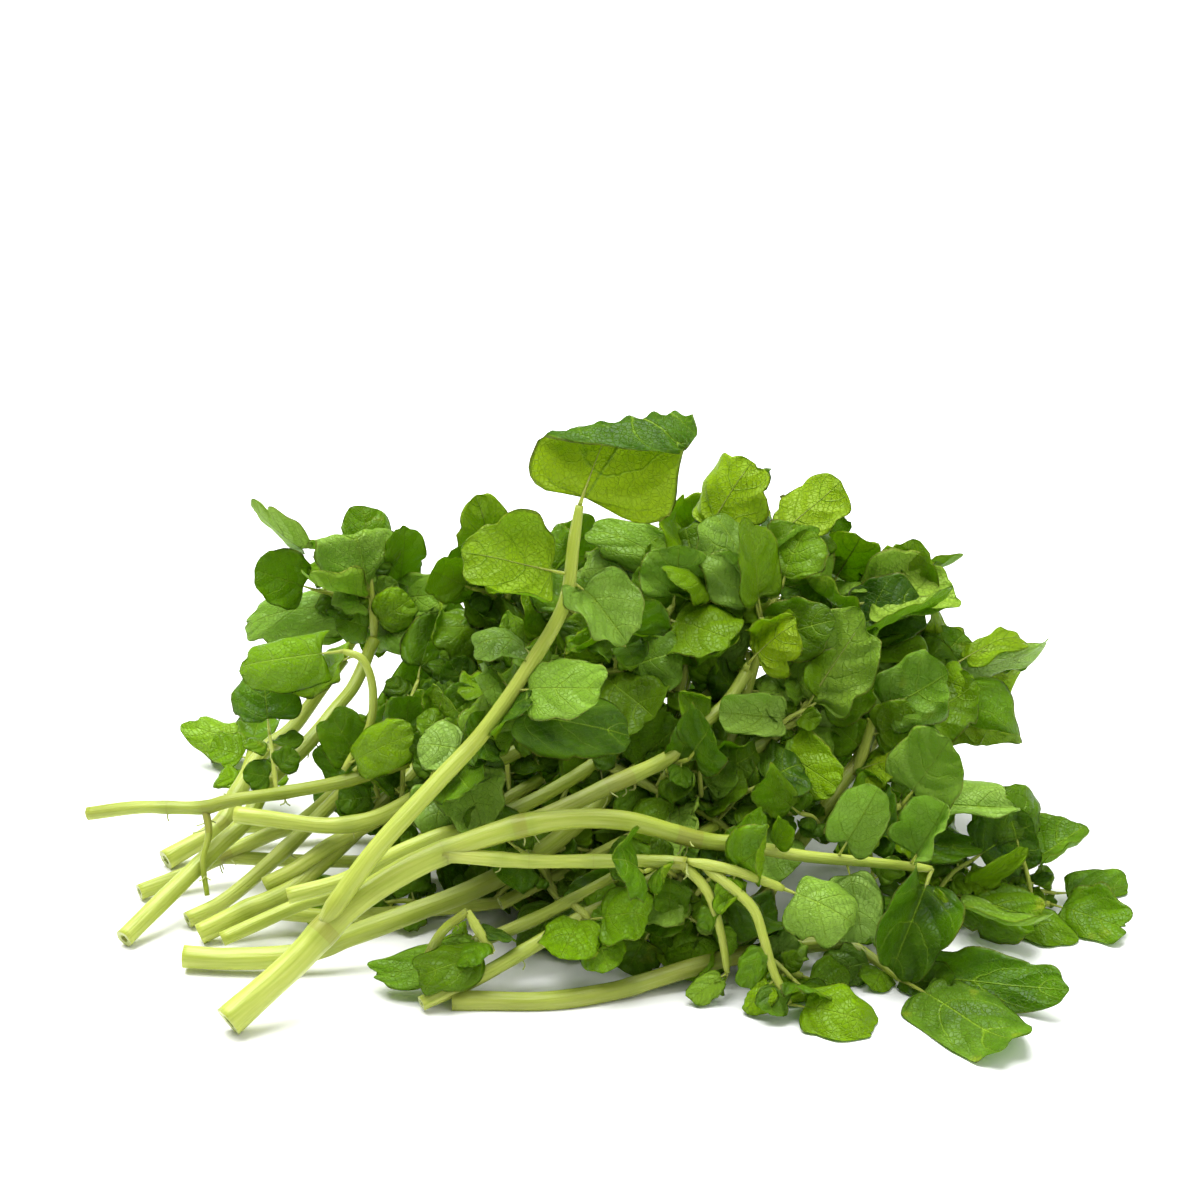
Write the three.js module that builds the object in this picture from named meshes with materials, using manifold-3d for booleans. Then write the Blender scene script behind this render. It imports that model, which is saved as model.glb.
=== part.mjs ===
// A picked bunch of watercress, lying on its side: cut stem ends to the left (-X), leaves to the right (+X).
// Millimetres, +Z up, the surface it lies on is Z = 0, the viewer's side is -Y.
// Each sprig has one stem (with its forks) and compound leaves: a leaf stalk with leaflets along it.

import * as THREE from "three";
import { ParametricGeometry } from "three/addons/geometries/ParametricGeometry.js";
import { mergeVertices } from "three/addons/utils/BufferGeometryUtils.js";
import Module from "manifold-3d";

const wasm = await Module();
wasm.setup();

// Driving dimensions, in millimetres
const GAP = 0.3; // clear space kept between neighbouring pieces
const BLADE_HALF_THICKNESS = 0.55; // half of a leaflet's thickness at its midrib
const STALKLET_SHARE = 0.1; // share of a leaflet's length that is bare stalklet
const ROOT_DEPTH = 1; // how far a leaflet reaches back into its leaf stalk
const LOWEST_TIP = 1; // height of the lowest leaflet tip above the surface
const STEM_STEP = 12; // length of one straight step along a stem
const STEM_SIDES = 6;
const STALK_STEP = 10; // length of one straight step along a leaf stalk
const STALK_SIDES = 5;
const FLOOR_BLOCK = 400; // side of the block that cuts off all that would reach below Z = 0

// Outline of a leaflet: [share of its length, half width as a share of the greatest half width]
const BLADE_OUTLINE = [
  [STALKLET_SHARE, 0.2],
  [0.4, 0.96],
  [0.8, 0.84],
];

// Which way the upper sides of a leaf's leaflets face: up and to the front, or up and to the back
const FRONT = [0, -0.6, 0.8];
const BACK = [0, 0.6, 0.8];
const NO_PAIRS = [0, 0];

const STEM_COLOUR = 0xa9bf5a;
const LEAF_COLOURS = [0x4f8a1e, 0x3c7420, 0x5f9a2c, 0x2f6419];

// Each axis is [first radius, last radius, points]; the first axis of a stem is its main one, the others fork
// from it. Each leaf is [stalk axis, leaflets, [pairs of plain side leaflets, their length, facing]], and each
// leaflet is [place along the stalk 0 to 1, tip, width, roll, cup, bend]: roll turns the upper side about the
// leaflet's own length (180 = underside to the front), cup folds both halves up along the midrib, and bend curls
// the tip away from the upper side, all in degrees.
const SPRIGS = [
  {
    stem: [
      [3.1, 1.6, [[-72, -57, 3], [-60, -49, 11], [-50, -42, 19], [-39, -37, 25], [-27, -33, 29], [-12, -31, 33],
        [4, -30, 33], [20, -29, 28], [28, -29, 27]]],
      [1.5, 1.2, [[-31, -35, 28], [-14, -34, 26], [0, -34, 26], [11, -34, 26], [17, -35, 26]]],
      [1.8, 1.2, [[-14, -30, 32], [1, -22, 36], [8, -17, 37], [14, -12, 38], [19, -6, 41], [25, -1, 44],
        [30, 5, 49]]],
    ],
    leaves: [
      [[2.1, 1.2, [[-54, -45, 18], [-44, -40, 31], [-32, -32, 42], [-23, -26, 50], [-14, -19, 61], [-7, -13, 72],
        [-5, -8, 84], [-4, -6, 90]]], [
        [1, [2, 1, 104], 26, 180, 20, -20],
        [0.86, [-26, -14, 84], 18, 180, -15, 10],
        [0.85, [5, -20, 65], 19, 10, -40, 30],
        [0.6, [1, -30, 61], 14, 0, -30, 20],
        [0.55, [6, -26, 50], 14, 20, -20, 20],
        [0.68, [-25, -22, 65], 13, 20, -30, 20],
        [0.6, [-23, -26, 56], 14, -10, -30, 20],
      ], NO_PAIRS],
      [[1.4, 0.9, [[28, -29, 27], [40, -28, 24], [54, -27, 22], [66, -26, 20]]], [
        [0.17, [37, -32, 34], 6, 0, 10, 10],
        [0.5, [55, -32, 42], 12, 20, 20, -10],
        [0.88, [69, -30, 38], 14, 0, 40, 0],
        [0.55, [52, -36, 9], 11, 0, 0, 30],
        [1, [57, -42, 5], 19, -10, 50, 30],
        [1, [63, -33, 3], 12, 40, 30, 30],
      ], NO_PAIRS],
      [[1.2, 0.9, [[17, -34, 26], [26, -36, 25], [36, -38, 22]]], [
        [1, [50, -43, 17], 16, 0, -30, 30],
        [0.5, [24, -40, 17], 6, 0, 0, 20],
      ], NO_PAIRS],
      [[1.2, 0.8, [[20, -34, 25], [26, -38, 22], [30, -41, 19], [32, -44, 14], [34, -47, 8], [37, -50, 3]]], [
        [1, [54, -58, 3], 13, 0, -20, 20],
        [0.85, [33, -52, 1], 7, 0, 20, 20],
        [0.83, [28, -50, 1], 7, 0, 20, 20],
        [0.6, [28, -48, 5], 6, 0, 0, 20],
      ], NO_PAIRS],
      [[1.2, 0.7, [[15, -33, 26], [20, -36, 22], [22, -38, 19], [24, -41, 12], [25, -43, 6]]], [
        [1, [18, -45, 1], 6, 0, 20, 30],
        [1, [24, -43, 1], 5, 90, 20, 10],
        [0.62, [27, -40, 9], 5, 0, 30, 0],
        [0.45, [20, -40, 14], 5, 0, 30, 0],
      ], NO_PAIRS],
      [[1.1, 0.8, [[29, 5, 48], [30, 4, 51]]], [
        [1, [39, 2, 61], 13, 170, 10, -20],
      ], NO_PAIRS],
    ],
  },
  {
    stem: [
      [2.3, 1.8, [[-83, -31, 3], [-74, -32, 3], [-60, -32, 4], [-50, -30, 7], [-39, -27, 10], [-24, -22, 14],
        [-12, -17, 19], [-2, -10, 25], [5, -2, 30], [12, 4, 33], [15, 8, 35]]],
      [1.2, 1.0, [[14, 6, 34], [20, 10, 39], [24, 12, 42], [28, 14, 44]]],
    ],
    leaves: [
      [[1.5, 1.0, [[14, 8, 36], [16, 10, 42], [18, 13, 50], [20, 15, 56], [23, 18, 61]]], [
        [1, [14, 10, 69], 10, 10, -40, 20],
        [1, [29, 16, 70], 10, 30, -30, 10],
        [0.45, [29, 8, 56], 11, 150, 10, -10],
        [0.55, [6, 8, 55], 7, 60, 0, 30],
      ], [2, 10]],
      [[1.3, 0.8, [[15, 9, 35], [18, 18, 42], [20, 23, 53], [21, 27, 68]]], [
        [1, [31, 30, 85], 16, 170, 10, -10],
        [0.82, [10, 26, 77], 14, 60, 10, 10],
        [0.55, [6, 18, 64], 10, 20, -20, 20],
        [0.8, [-2, 30, 71], 11, 0, -20, 20],
      ], [3, 13]],
      [[1.2, 0.8, [[28, 14, 44], [30, 20, 50], [34, 27, 61], [36, 30, 67]]], [
        [1, [50, 38, 76], 14, 170, 0, -20],
        [0.9, [50, 32, 69], 11, 30, -20, 20],
        [0.75, [43, 26, 73], 10, 80, 20, 10],
      ], [2, 12]],
      [[1.2, 0.8, [[-12, -17, 19], [-10, -18, 12], [-5, -20, 6]]], [
        [1, [4, -22, 2], 13, 0, -20, 20],
        [1, [-8, -28, 2], 11, 10, -20, 20],
      ], [1, 14]],
    ],
  },
  {
    stem: [
      [1.3, 1.2, [[-20, -22, 10], [-5, -15, 15], [11, -11, 22], [18, -6, 25], [24, -4, 30], [28, -2, 32],
        [32, 0, 34], [37, 3, 36], [40, 5, 37]]],
    ],
    leaves: [
      [[1.2, 0.9, [[32, 0, 34], [37, 2, 37], [41, 4, 39]]], [
        [1, [54, 8, 59], 19, 170, -10, -20],
        [0.9, [23, -4, 44], 11, -20, 60, 10],
        [0.2, [48, -8, 29], 13, 10, -20, 20],
      ], [1, 11]],
      [[1.2, 0.8, [[24, -4, 30], [28, 6, 37], [32, 12, 48], [33, 14, 57]]], [
        [1, [31, 16, 77], 12, 40, 40, -10],
        [0.97, [24, 24, 76], 18, 20, -40, 30],
        [0.85, [47, 8, 59], 13, 20, -20, 20],
      ], [3, 14]],
    ],
  },
  {
    stem: [
      [1.8, 1.4, [[0, -20, 2], [18, -20, 4], [32, -19, 9], [36, -14, 13], [42, -8, 19], [50, 0, 27], [53, 3, 30],
        [56, 7, 37]]],
    ],
    leaves: [
      [[1.3, 0.9, [[52, 0, 28], [54, 2, 33], [56, 5, 39]]], [
        [1, [71, 2, 50], 18, 10, 60, -10],
        [0.05, [61, -4, 34], 12, 160, 0, -10],
      ], [1, 13]],
      [[1.3, 0.8, [[53, 4, 28], [59, 14, 32], [66, 20, 38], [73, 22, 42]]], [
        [1, [80, 8, 23], 21, 10, -20, 30],
        [1, [88, 28, 48], 10, 150, 10, -10],
        [0.95, [95, 30, 42], 7, 80, 20, 10],
      ], [3, 16]],
      [[1.2, 0.8, [[42, -8, 19], [51, -8, 21], [61, -8, 25]]], [
        [1, [84, -6, 23], 17, 10, -50, 30],
        [0.7, [81, -2, 11], 4, 80, 0, 10],
        [1, [70, -12, 42], 17, 10, 20, -20],
        [0.5, [75, -12, 15], 10, 0, 0, 20],
      ], [2, 13]],
      [[1.3, 0.8, [[53, 4, 30], [52, 16, 37], [51, 24, 45], [52, 30, 52]]], [
        [1, [74, 34, 52], 21, 160, -50, -30],
        [0.95, [41, 20, 62], 16, 40, 70, 10],
        [0.8, [71, 20, 60], 18, 120, 20, 10],
        [0.7, [75, 18, 48], 7, 0, 0, 20],
      ], [3, 16]],
    ],
  },
  {
    stem: [
      [2.0, 1.5, [[-29, -46, 1.4], [-24, -46, 1.4], [-10, -46, 1.4], [3, -43, 2], [11, -40, 3], [17, -38, 4],
        [28, -34, 5], [41, -30, 5], [49, -28, 5], [57, -22, 6], [66, -14, 7]]],
    ],
    leaves: [
      [[1.3, 0.8, [[49, -28, 5], [55, -33, 3], [60, -39, 2]]], [
        [1, [80, -67, 1], 19, 0, -10, 20],
        [0.9, [91, -48, 4], 13, 0, -20, 20],
        [0.8, [69, -44, 3], 11, 20, 10, 20],
        [0.5, [44, -35, 1], 11, 0, -20, 20],
      ], [1, 12]],
      [[1.2, 0.8, [[64, -16, 7], [68, -14, 8], [72, -12, 7]]], [
        [1, [89, -24, 7], 13, 0, -20, 10],
        [1, [86, -14, 18], 6, 70, 30, 10],
        [0.6, [89, -36, 10], 7, -30, 60, -10],
      ], [1, 10]],
      [[1.2, 0.8, [[66, -14, 7], [79, -8, 3], [92, -9, 3]]], [
        [1, [107, -19, 2], 12, 0, -30, 20],
        [0.6, [95, -22, 1], 10, 0, -10, 10],
        [0.3, [81, 0, 4], 6, 0, -20, 10],
      ], [2, 10]],
      [[1.2, 0.8, [[28, -34, 5], [34, -37, 4], [40, -39, 3]]], [
        [1, [49, -41, 1], 12, 0, -20, 20],
        [0.7, [36, -32, 8], 11, 0, -20, 20],
      ], [1, 13]],
    ],
  },
  {
    stem: [
      [1.3, 1.2, [[-34, -38, 6], [-24, -36, 9], [-13, -34, 13], [-6, -32, 16], [6, -26, 20], [16, -18, 21],
        [24, -10, 22]]],
      [1.1, 0.8, [[-34, -38, 6], [-31, -39, 13], [-26, -38, 17]]],
    ],
    leaves: [
      [[1.1, 0.8, [[-6, -32, 16], [-2, -36, 14]]], [
        [1, [12, -42, 19], 13, 0, -20, 20],
        [0.9, [2, -44, 7], 11, 10, -20, 20],
      ], [1, 13]],
      [[1.2, 0.8, [[-26, -38, 17], [-24, -40, 14], [-21, -42, 10]]], [
        [1, [-36, -48, 8], 11, 0, -20, 10],
        [0.9, [-43, -38, 1], 10, 0, 0, 20],
        [0.5, [-32, -36, 2], 12, 0, -20, 20],
      ], [1, 10]],
    ],
  },
  {
    stem: [
      [1.5, 1.3, [[-35, -48, 2], [-24, -43, 5], [-13, -39, 10], [-3, -34, 14], [6, -30, 17], [15, -26, 20],
        [24, -20, 19], [35, -10, 17]]],
    ],
    leaves: [
      [[1.2, 0.8, [[15, -26, 20], [17, -29, 15], [20, -31, 10]]], [
        [1, [27, -34, 3], 14, 0, -20, 20],
        [1, [17, -38, 1], 13, 0, -20, 20],
        [0.6, [12, -28, 5], 11, 0, 0, 20],
        [0.6, [31, -28, 8], 12, 0, 0, 20],
      ], [2, 14]],
    ],
  },
  {
    stem: [
      [2.0, 1.3, [[-96, -22, 2], [-87, -11, 7], [-78, 0, 12], [-73, 5, 15], [-69, 12, 20], [-62, 20, 24],
        [-56, 28, 29], [-52, 34, 32], [-48, 42, 39]]],
    ],
    leaves: [
      [[1.2, 0.8, [[-48, 42, 39], [-48, 44, 44], [-49, 46, 47]]], [
        [1, [-54, 50, 67], 19, 20, -40, 30],
        [1, [-62, 36, 54], 10, 40, 60, 10],
        [0.95, [-75, 50, 65], 10, 100, 30, 10],
      ], [2, 11]],
    ],
  },
  {
    stem: [
      [2.2, 1.3, [[-91, 12, 2], [-80, 20, 6], [-77, 26, 10], [-72, 34, 16], [-66, 40, 19], [-62, 44, 23],
        [-55, 48, 32]]],
      [1.5, 1.1, [[-80, 20, 6], [-62, 24, 4], [-38, 26, 4], [-12, 28, 6], [14, 30, 12]]],
    ],
    leaves: [
      [[1.2, 0.8, [[-55, 48, 32], [-50, 52, 40], [-43, 52, 46]]], [
        [1, [-41, 50, 61], 10, 40, 50, -10],
        [0.8, [-31, 44, 49], 10, 20, -10, 20],
        [0.7, [-77, 48, 41], 12, 0, -30, 30],
        [0.4, [-38, 40, 42], 11, 20, -20, 20],
      ], [3, 12]],
      [[1.1, 0.8, [[-77, 26, 10], [-76, 44, 9], [-76, 56, 8]]], [
        [1, [-90, 64, 7], 11, 0, -20, 20],
        [1, [-85, 66, 1], 11, 0, -30, 20],
        [0.9, [-75, 67, 9], 10, 0, -20, 20],
      ], [2, 10]],
    ],
  },
  {
    stem: [
      [1.4, 1.3, [[-106, 8, 15], [-95, 5, 18], [-81, 1, 20], [-76, 0, 22], [-64, -2, 25], [-50, -4, 29],
        [-39, -2, 32]]],
      [0.8, 0.5, [[-81, 1, 20], [-80, -3, 16], [-81, -7, 12], [-80, -11, 6]]],
    ],
    leaves: [
      [[1.0, 0.8, [[-52, -4, 31], [-47, 0, 38], [-46, 2, 46], [-48, 4, 52], [-52, 6, 53]]], [
        [1, [-74, 14, 46], 17, -20, -60, 20],
        [0.05, [-38, -10, 42], 11, 20, -20, 20],
        [0.9, [-62, 20, 38], 10, 0, 0, 20],
      ], NO_PAIRS],
    ],
  },
  {
    stem: [
      [1.7, 1.5, [[-74, -6, 22], [-67, -8, 22], [-55, -9, 21], [-46, -10, 23], [-36, -9, 28], [-24, -5, 32],
        [-14, 0, 35], [-4, 6, 39]]],
    ],
    leaves: [
      [[1.2, 0.8, [[-36, -8, 28], [-30, -14, 35], [-26, -18, 42]]], [
        [1, [-36, -18, 44], 13, 0, -20, 20],
        [0.8, [-23, -26, 29], 14, 10, -20, 20],
        [0.5, [-33, -24, 27], 13, 0, -30, 20],
        [1, [-18, -16, 52], 12, 20, -20, 20],
      ], [1, 14]],
    ],
  },
  {
    stem: [
      [1.6, 1.4, [[-95, -2, 2], [-85, 3, 4], [-79, 6, 6], [-68, 9, 10], [-63, 11, 11], [-53, 18, 17],
        [-42, 25, 23], [-35, 30, 26], [-28, 34, 29], [-13, 40, 38]]],
      [1.4, 1.0, [[-79, 6, 6], [-60, 8, 4], [-36, 8, 4], [-12, 10, 5], [12, 12, 6], [32, 14, 12]]],
    ],
    leaves: [
      [[1.2, 0.8, [[-28, 34, 29], [-23, 36, 37], [-21, 36, 46], [-19, 33, 54]]], [
        [1, [-27, 34, 64], 13, 20, -20, 20],
        [0.8, [-6, 34, 58], 14, 10, -20, 20],
        [0.6, [-37, 32, 46], 16, 20, -30, 20],
        [0.4, [-8, 26, 44], 14, 10, -20, 20],
      ], [2, 13]],
    ],
  },
  {
    stem: [
      [1.6, 1.4, [[-84, -14, 2], [-77, -10, 4], [-67, -3, 10], [-57, 5, 17], [-52, 8, 21], [-41, 14, 27],
        [-33, 20, 30], [-27, 24, 32], [-15, 30, 39]]],
    ],
    leaves: [
      [[1.2, 0.8, [[-27, 24, 32], [-19, 24, 38], [-11, 24, 45], [-4, 25, 52]]], [
        [1, [4, 27, 64], 17, 20, -20, 20],
        [0.8, [9, 18, 50], 16, 10, -20, 20],
        [0.6, [-21, 22, 52], 14, 10, -20, 20],
        [0.4, [0, 14, 40], 14, 0, -20, 20],
      ], [2, 14]],
    ],
  },
  {
    stem: [
      [2.2, 1.5, [[-81, -20, 2], [-71, -17, 6], [-64, -14, 8], [-55, -6, 13], [-41, 4, 23], [-35, 10, 27],
        [-20, 18, 33]]],
      [1.5, 1.1, [[-71, -17, 6], [-55, -16, 4], [-38, -14, 4], [-20, -12, 5], [-4, -4, 4], [14, -4, 5]]],
    ],
    leaves: [
      [[1.2, 0.8, [[-20, 18, 33], [-12, 14, 38], [-4, 12, 44], [5, 8, 48]]], [
        [1, [16, 4, 54], 17, 20, -20, 20],
        [0.8, [12, -6, 43], 17, 10, -20, 20],
        [0.5, [0, 0, 35], 16, 10, -20, 20],
        [0.4, [-14, 16, 50], 14, 20, -20, 20],
      ], [2, 14]],
    ],
  },
  {
    stem: [
      [1.5, 1.3, [[-76, -24, 3], [-70, -22, 5], [-60, -20, 9], [-54, -18, 10], [-40, -14, 16], [-26, -8, 22],
        [-12, 0, 27]]],
    ],
    leaves: [
      [[1.2, 0.8, [[-12, 0, 27], [-10, -4, 20], [-5, -8, 13], [1, -11, 8]]], [
        [1, [12, -16, 3], 16, 0, -20, 20],
        [0.7, [-14, -12, 5], 13, 0, -20, 20],
        [0.9, [6, 0, 3], 13, 0, -20, 20],
      ], [3, 14]],
    ],
  },
  {
    stem: [
      [1.6, 1.4, [[-62, -28, 15], [-51, -27, 18], [-45, -26, 21], [-33, -24, 26], [-24, -20, 27], [-12, -12, 29],
        [0, -4, 33]]],
    ],
    leaves: [
      [[1.2, 0.8, [[0, -4, 33], [10, -7, 29], [20, -10, 25], [28, -12, 20]]], [
        [1, [40, -16, 16], 16, 0, -20, 20],
        [0.6, [28, -6, 34], 14, 10, -20, 20],
        [0.4, [12, -18, 20], 13, 0, -20, 20],
      ], [3, 15]],
    ],
  },
  {
    stem: [
      [1.6, 1.3, [[-68, -12, 9], [-62, -11, 12], [-54, -7, 16], [-44, -3, 20], [-36, -1, 24], [-24, 3, 31],
        [-12, 10, 40]]],
    ],
    leaves: [
      [[1.2, 0.8, [[-12, 10, 40], [0, 13, 46], [10, 14, 53], [15, 15, 59]]], [
        [1, [16, 18, 71], 16, 20, -20, 20],
        [0.9, [27, 4, 56], 17, 0, -20, 20],
        [0.5, [1, 10, 57], 16, 10, -20, 20],
      ], [2, 14]],
    ],
  },
  {
    stem: [
      [1.6, 1.3, [[-59, 42, 10], [-43, 44, 16], [-38, 45, 23], [-31, 45, 29], [-26, 45, 33], [-9, 46, 44],
        [9, 46, 52]]],
    ],
    leaves: [
      [[1.2, 0.8, [[9, 46, 52], [18, 49, 57], [27, 50, 58]]], [
        [1, [40, 54, 60], 17, 0, -20, 20],
        [1, [28, 62, 48], 16, 0, -20, 20],
        [0.7, [12, 60, 54], 14, 20, -20, 20],
        [0.6, [24, 44, 70], 14, -20, 10, 20],
        [0.3, [6, 58, 40], 14, 0, -20, 20],
      ], [2, 16, BACK]],
      [[1.2, 0.8, [[-26, 45, 33], [-22, 47, 40], [-14, 49, 46]]], [
        [1, [-6, 56, 54], 16, 0, -20, 20],
        [1, [-22, 54, 56], 14, 0, -20, 20],
        [0.6, [-10, 58, 38], 14, 0, -20, 20],
        [0.5, [-34, 52, 42], 13, 0, -20, 20],
        [0.3, [-24, 58, 30], 13, 0, -20, 20],
      ], [2, 16, BACK]],
    ],
  },
  {
    stem: [
      [1.6, 1.3, [[-53, 50, 8], [-33, 52, 14], [-9, 54, 24], [17, 50, 36], [38, 46, 46]]],
    ],
    leaves: [
      [[1.2, 0.8, [[38, 46, 46], [48, 46, 50], [57, 44, 50]]], [
        [1, [72, 48, 54], 18, 0, -20, 20],
        [1, [60, 57, 41], 16, 0, -20, 20],
        [0.6, [46, 60, 48], 16, 10, -20, 20],
        [0.6, [54, 36, 64], 16, -20, 10, 20],
        [0.3, [44, 58, 34], 14, 0, -20, 20],
      ], [2, 16, BACK]],
      [[1.2, 0.8, [[-9, 54, 24], [0, 55, 24], [8, 56, 22]]], [
        [1, [20, 62, 18], 14, 0, -20, 20],
        [1, [8, 66, 8], 13, 0, -20, 20],
        [0.5, [-4, 64, 30], 13, 0, -20, 20],
        [0.4, [-14, 62, 14], 12, 20, -20, 20],
      ], [2, 16, BACK]],
    ],
  },
  {
    stem: [
      [1.6, 1.3, [[-40, 49, 2], [-18, 52, 5], [9, 52, 10], [35, 48, 17], [56, 42, 26]]],
    ],
    leaves: [
      [[1.2, 0.8, [[56, 42, 26], [66, 42, 30], [76, 38, 32]]], [
        [1, [90, 38, 34], 17, 0, -20, 20],
        [1, [82, 50, 24], 16, -20, -20, 20],
        [0.6, [68, 54, 26], 16, 0, -20, 20],
        [0.6, [74, 30, 46], 14, -20, 10, 20],
        [0.3, [58, 56, 16], 14, 0, -20, 20],
      ], [2, 16, BACK]],
      [[1.2, 0.8, [[35, 48, 17], [44, 52, 14], [52, 54, 10]]], [
        [1, [66, 58, 4], 14, 0, -20, 20],
        [1, [52, 66, 3], 13, 0, -20, 20],
        [0.5, [40, 64, 10], 13, 0, -20, 20],
        [0.4, [36, 62, 22], 13, 0, -20, 20],
      ], [2, 16, BACK]],
    ],
  },
];

// A closed surface as a solid: shared corners merged, zero-size triangles left out
function solid(geometry) {
  geometry.deleteAttribute("normal");
  geometry.deleteAttribute("uv");
  const merged = mergeVertices(geometry, 1e-4);
  const index = merged.index.array;
  const triangles = [];
  for (let i = 0; i < index.length; i += 3) {
    const [a, b, c] = [index[i], index[i + 1], index[i + 2]];
    if (a !== b && b !== c && c !== a) triangles.push(a, b, c);
  }
  const vertProperties = new Float32Array(merged.attributes.position.array);
  const triVerts = new Uint32Array(triangles);
  return new wasm.Manifold(new wasm.Mesh({ numProp: 3, vertProperties, triVerts }));
}

const point = ([x, y, z]) => new THREE.Vector3(x, y, z);
const smoothCurve = (points) => new THREE.CatmullRomCurve3(points.map(point), false, "centripetal");

// A tapering round stem or stalk along a smooth curve, its ends closed
function tube([firstRadius, lastRadius, points], sides, step, grow) {
  const curve = smoothCurve(points);
  const steps = Math.max(2, Math.round(curve.getLength() / step));
  const frames = curve.computeFrenetFrames(steps, false);
  const rows = steps + 2; // the first and last row are the middles of the two ends
  const place = (around, along, target) => {
    const row = Math.round(along * rows);
    const k = Math.min(Math.max(row - 1, 0), steps);
    const isEnd = row === 0 || row === rows;
    const radius = isEnd ? 0 : firstRadius + (lastRadius - firstRadius) * (k / steps) + grow;
    const angle = 2 * Math.PI * (Math.round(around * sides) % sides) / sides;
    curve.getPointAt(k / steps, target);
    target.addScaledVector(frames.normals[k], radius * Math.cos(angle));
    target.addScaledVector(frames.binormals[k], radius * Math.sin(angle));
  };
  return solid(new ParametricGeometry(place, sides, rows));
}

// One leaflet from its place on the stalk to its tip: a thin blade, thickest at the midrib, pointed at both ends
function blade(base, [, tip, width, roll, cup, bend], facing, grow) {
  const along = point(tip).sub(base);
  const length = along.length();
  along.normalize();
  const up = point(facing);
  up.addScaledVector(along, -up.dot(along)).normalize();
  up.applyAxisAngle(along, THREE.MathUtils.degToRad(roll));
  const side = new THREE.Vector3().crossVectors(along, up);
  const bendAngle = THREE.MathUtils.degToRad(bend || 0.01);
  const cupAngle = THREE.MathUtils.degToRad(cup || 0.01);
  const chord = length / (2 * Math.sin(bendAngle / 2));
  const rows = BLADE_OUTLINE.length + 1;
  const place = (around, share, target) => {
    const row = Math.round(share * rows);
    const corner = Math.round(around * 4) % 4; // upper middle, one edge, lower middle, other edge
    const isPoint = row === 0 || row === rows;
    const [u, halfShare] = isPoint ? [row / rows, 0] : BLADE_OUTLINE[row - 1];
    const turn = bendAngle * (u - 0.5);
    target.copy(base);
    target.addScaledVector(along, length / 2 + chord * Math.sin(turn));
    target.addScaledVector(up, chord * (Math.cos(turn) - Math.cos(bendAngle / 2)));
    if (isPoint) {
      target.addScaledVector(along, row === 0 ? -ROOT_DEPTH : grow);
      return;
    }
    const half = halfShare * width / 2 + grow;
    const normal = up.clone().multiplyScalar(Math.cos(turn)).addScaledVector(along, Math.sin(turn));
    if (corner % 2 === 0) {
      target.addScaledVector(normal, (BLADE_HALF_THICKNESS + grow) * (1 - corner));
      return;
    }
    target.addScaledVector(side, half * Math.sin(cupAngle) / cupAngle * (2 - corner));
    target.addScaledVector(normal, half * (1 - Math.cos(cupAngle)) / cupAngle);
  };
  return solid(new ParametricGeometry(place, 4, rows));
}

// Plain side leaflets in pairs along a stalk, each a little different in length, lean and curl
function pairedLeaflets(curve, pairs, size, facing) {
  const rows = [];
  const up = point(facing);
  const seed = curve.points[0].x + 2 * curve.points[0].z;
  for (let k = 0; k < pairs; k++) {
    for (const hand of [1, -1]) {
      const sway = Math.sin(seed + 3.1 * k + 1.7 * hand);
      const lean = Math.sin(2 * seed + 2.3 * k + 4.9 * hand);
      const along = (k + 0.7 + 0.15 * hand) / (pairs + 0.3);
      const ahead = curve.getTangentAt(along);
      const out = new THREE.Vector3().crossVectors(ahead, up).normalize().multiplyScalar(hand);
      out.addScaledVector(ahead, 0.5).addScaledVector(up, 0.45 * lean).normalize();
      const length = size * (0.85 + 0.2 * sway);
      const tip = curve.getPointAt(along).addScaledVector(out, length);
      tip.z = Math.max(tip.z, LOWEST_TIP);
      rows.push([along, tip.toArray(), length, 35 * lean, -10 + 30 * sway, 25 * lean]);
    }
  }
  return rows;
}

const stemSolid = (axes, grow) =>
  axes.map((axis) => tube(axis, STEM_SIDES, STEM_STEP, grow)).reduce((a, b) => a.add(b));

function leafSolid([stalk, leaflets, [pairs, size, facing = FRONT]], grow) {
  const curve = smoothCurve(stalk[2]);
  let body = tube(stalk, STALK_SIDES, STALK_STEP, grow);
  for (const leaflet of [...leaflets, ...pairedLeaflets(curve, pairs, size, facing)]) {
    body = body.add(blade(curve.getPointAt(leaflet[0]), leaflet, facing, grow));
  }
  return body;
}

const floorBlock = solid(new THREE.BoxGeometry(FLOOR_BLOCK, FLOOR_BLOCK, FLOOR_BLOCK)
  .translate(0, 0, -FLOOR_BLOCK / 2));
const largest = (bodies) => bodies.reduce((a, b) => (b.volume() > a.volume() ? b : a));

function boxesMeet(a, b) {
  const [p, q] = [a.boundingBox(), b.boundingBox()];
  return [0, 1, 2].every((i) => p.min[i] <= q.max[i] && q.min[i] <= p.max[i]);
}

// Cuts a piece at the floor and clear of its neighbours, and keeps its one main body
const kept = [];
function fit(build) {
  const neighbour = build(GAP);
  const original = build(0).subtract(floorBlock);
  let body = original;
  for (const other of kept.filter((other) => boxesMeet(other, body))) {
    body = body.subtract(other);
  }
  body = largest(body.decompose());
  kept.push(neighbour);
  return body;
}

// A named mesh, placed by its own start point inside its sprig
function addPiece(sprig, name, body, start, material) {
  const { vertProperties, triVerts } = body.getMesh();
  const geometry = new THREE.BufferGeometry();
  geometry.setAttribute("position", new THREE.BufferAttribute(new Float32Array(vertProperties), 3));
  geometry.setIndex(new THREE.BufferAttribute(new Uint32Array(triVerts), 1));
  geometry.translate(-start.x, -start.y, -start.z);
  geometry.computeVertexNormals();
  const mesh = new THREE.Mesh(geometry, material);
  mesh.name = name;
  mesh.position.copy(start).sub(sprig.position);
  sprig.add(mesh);
}

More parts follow.
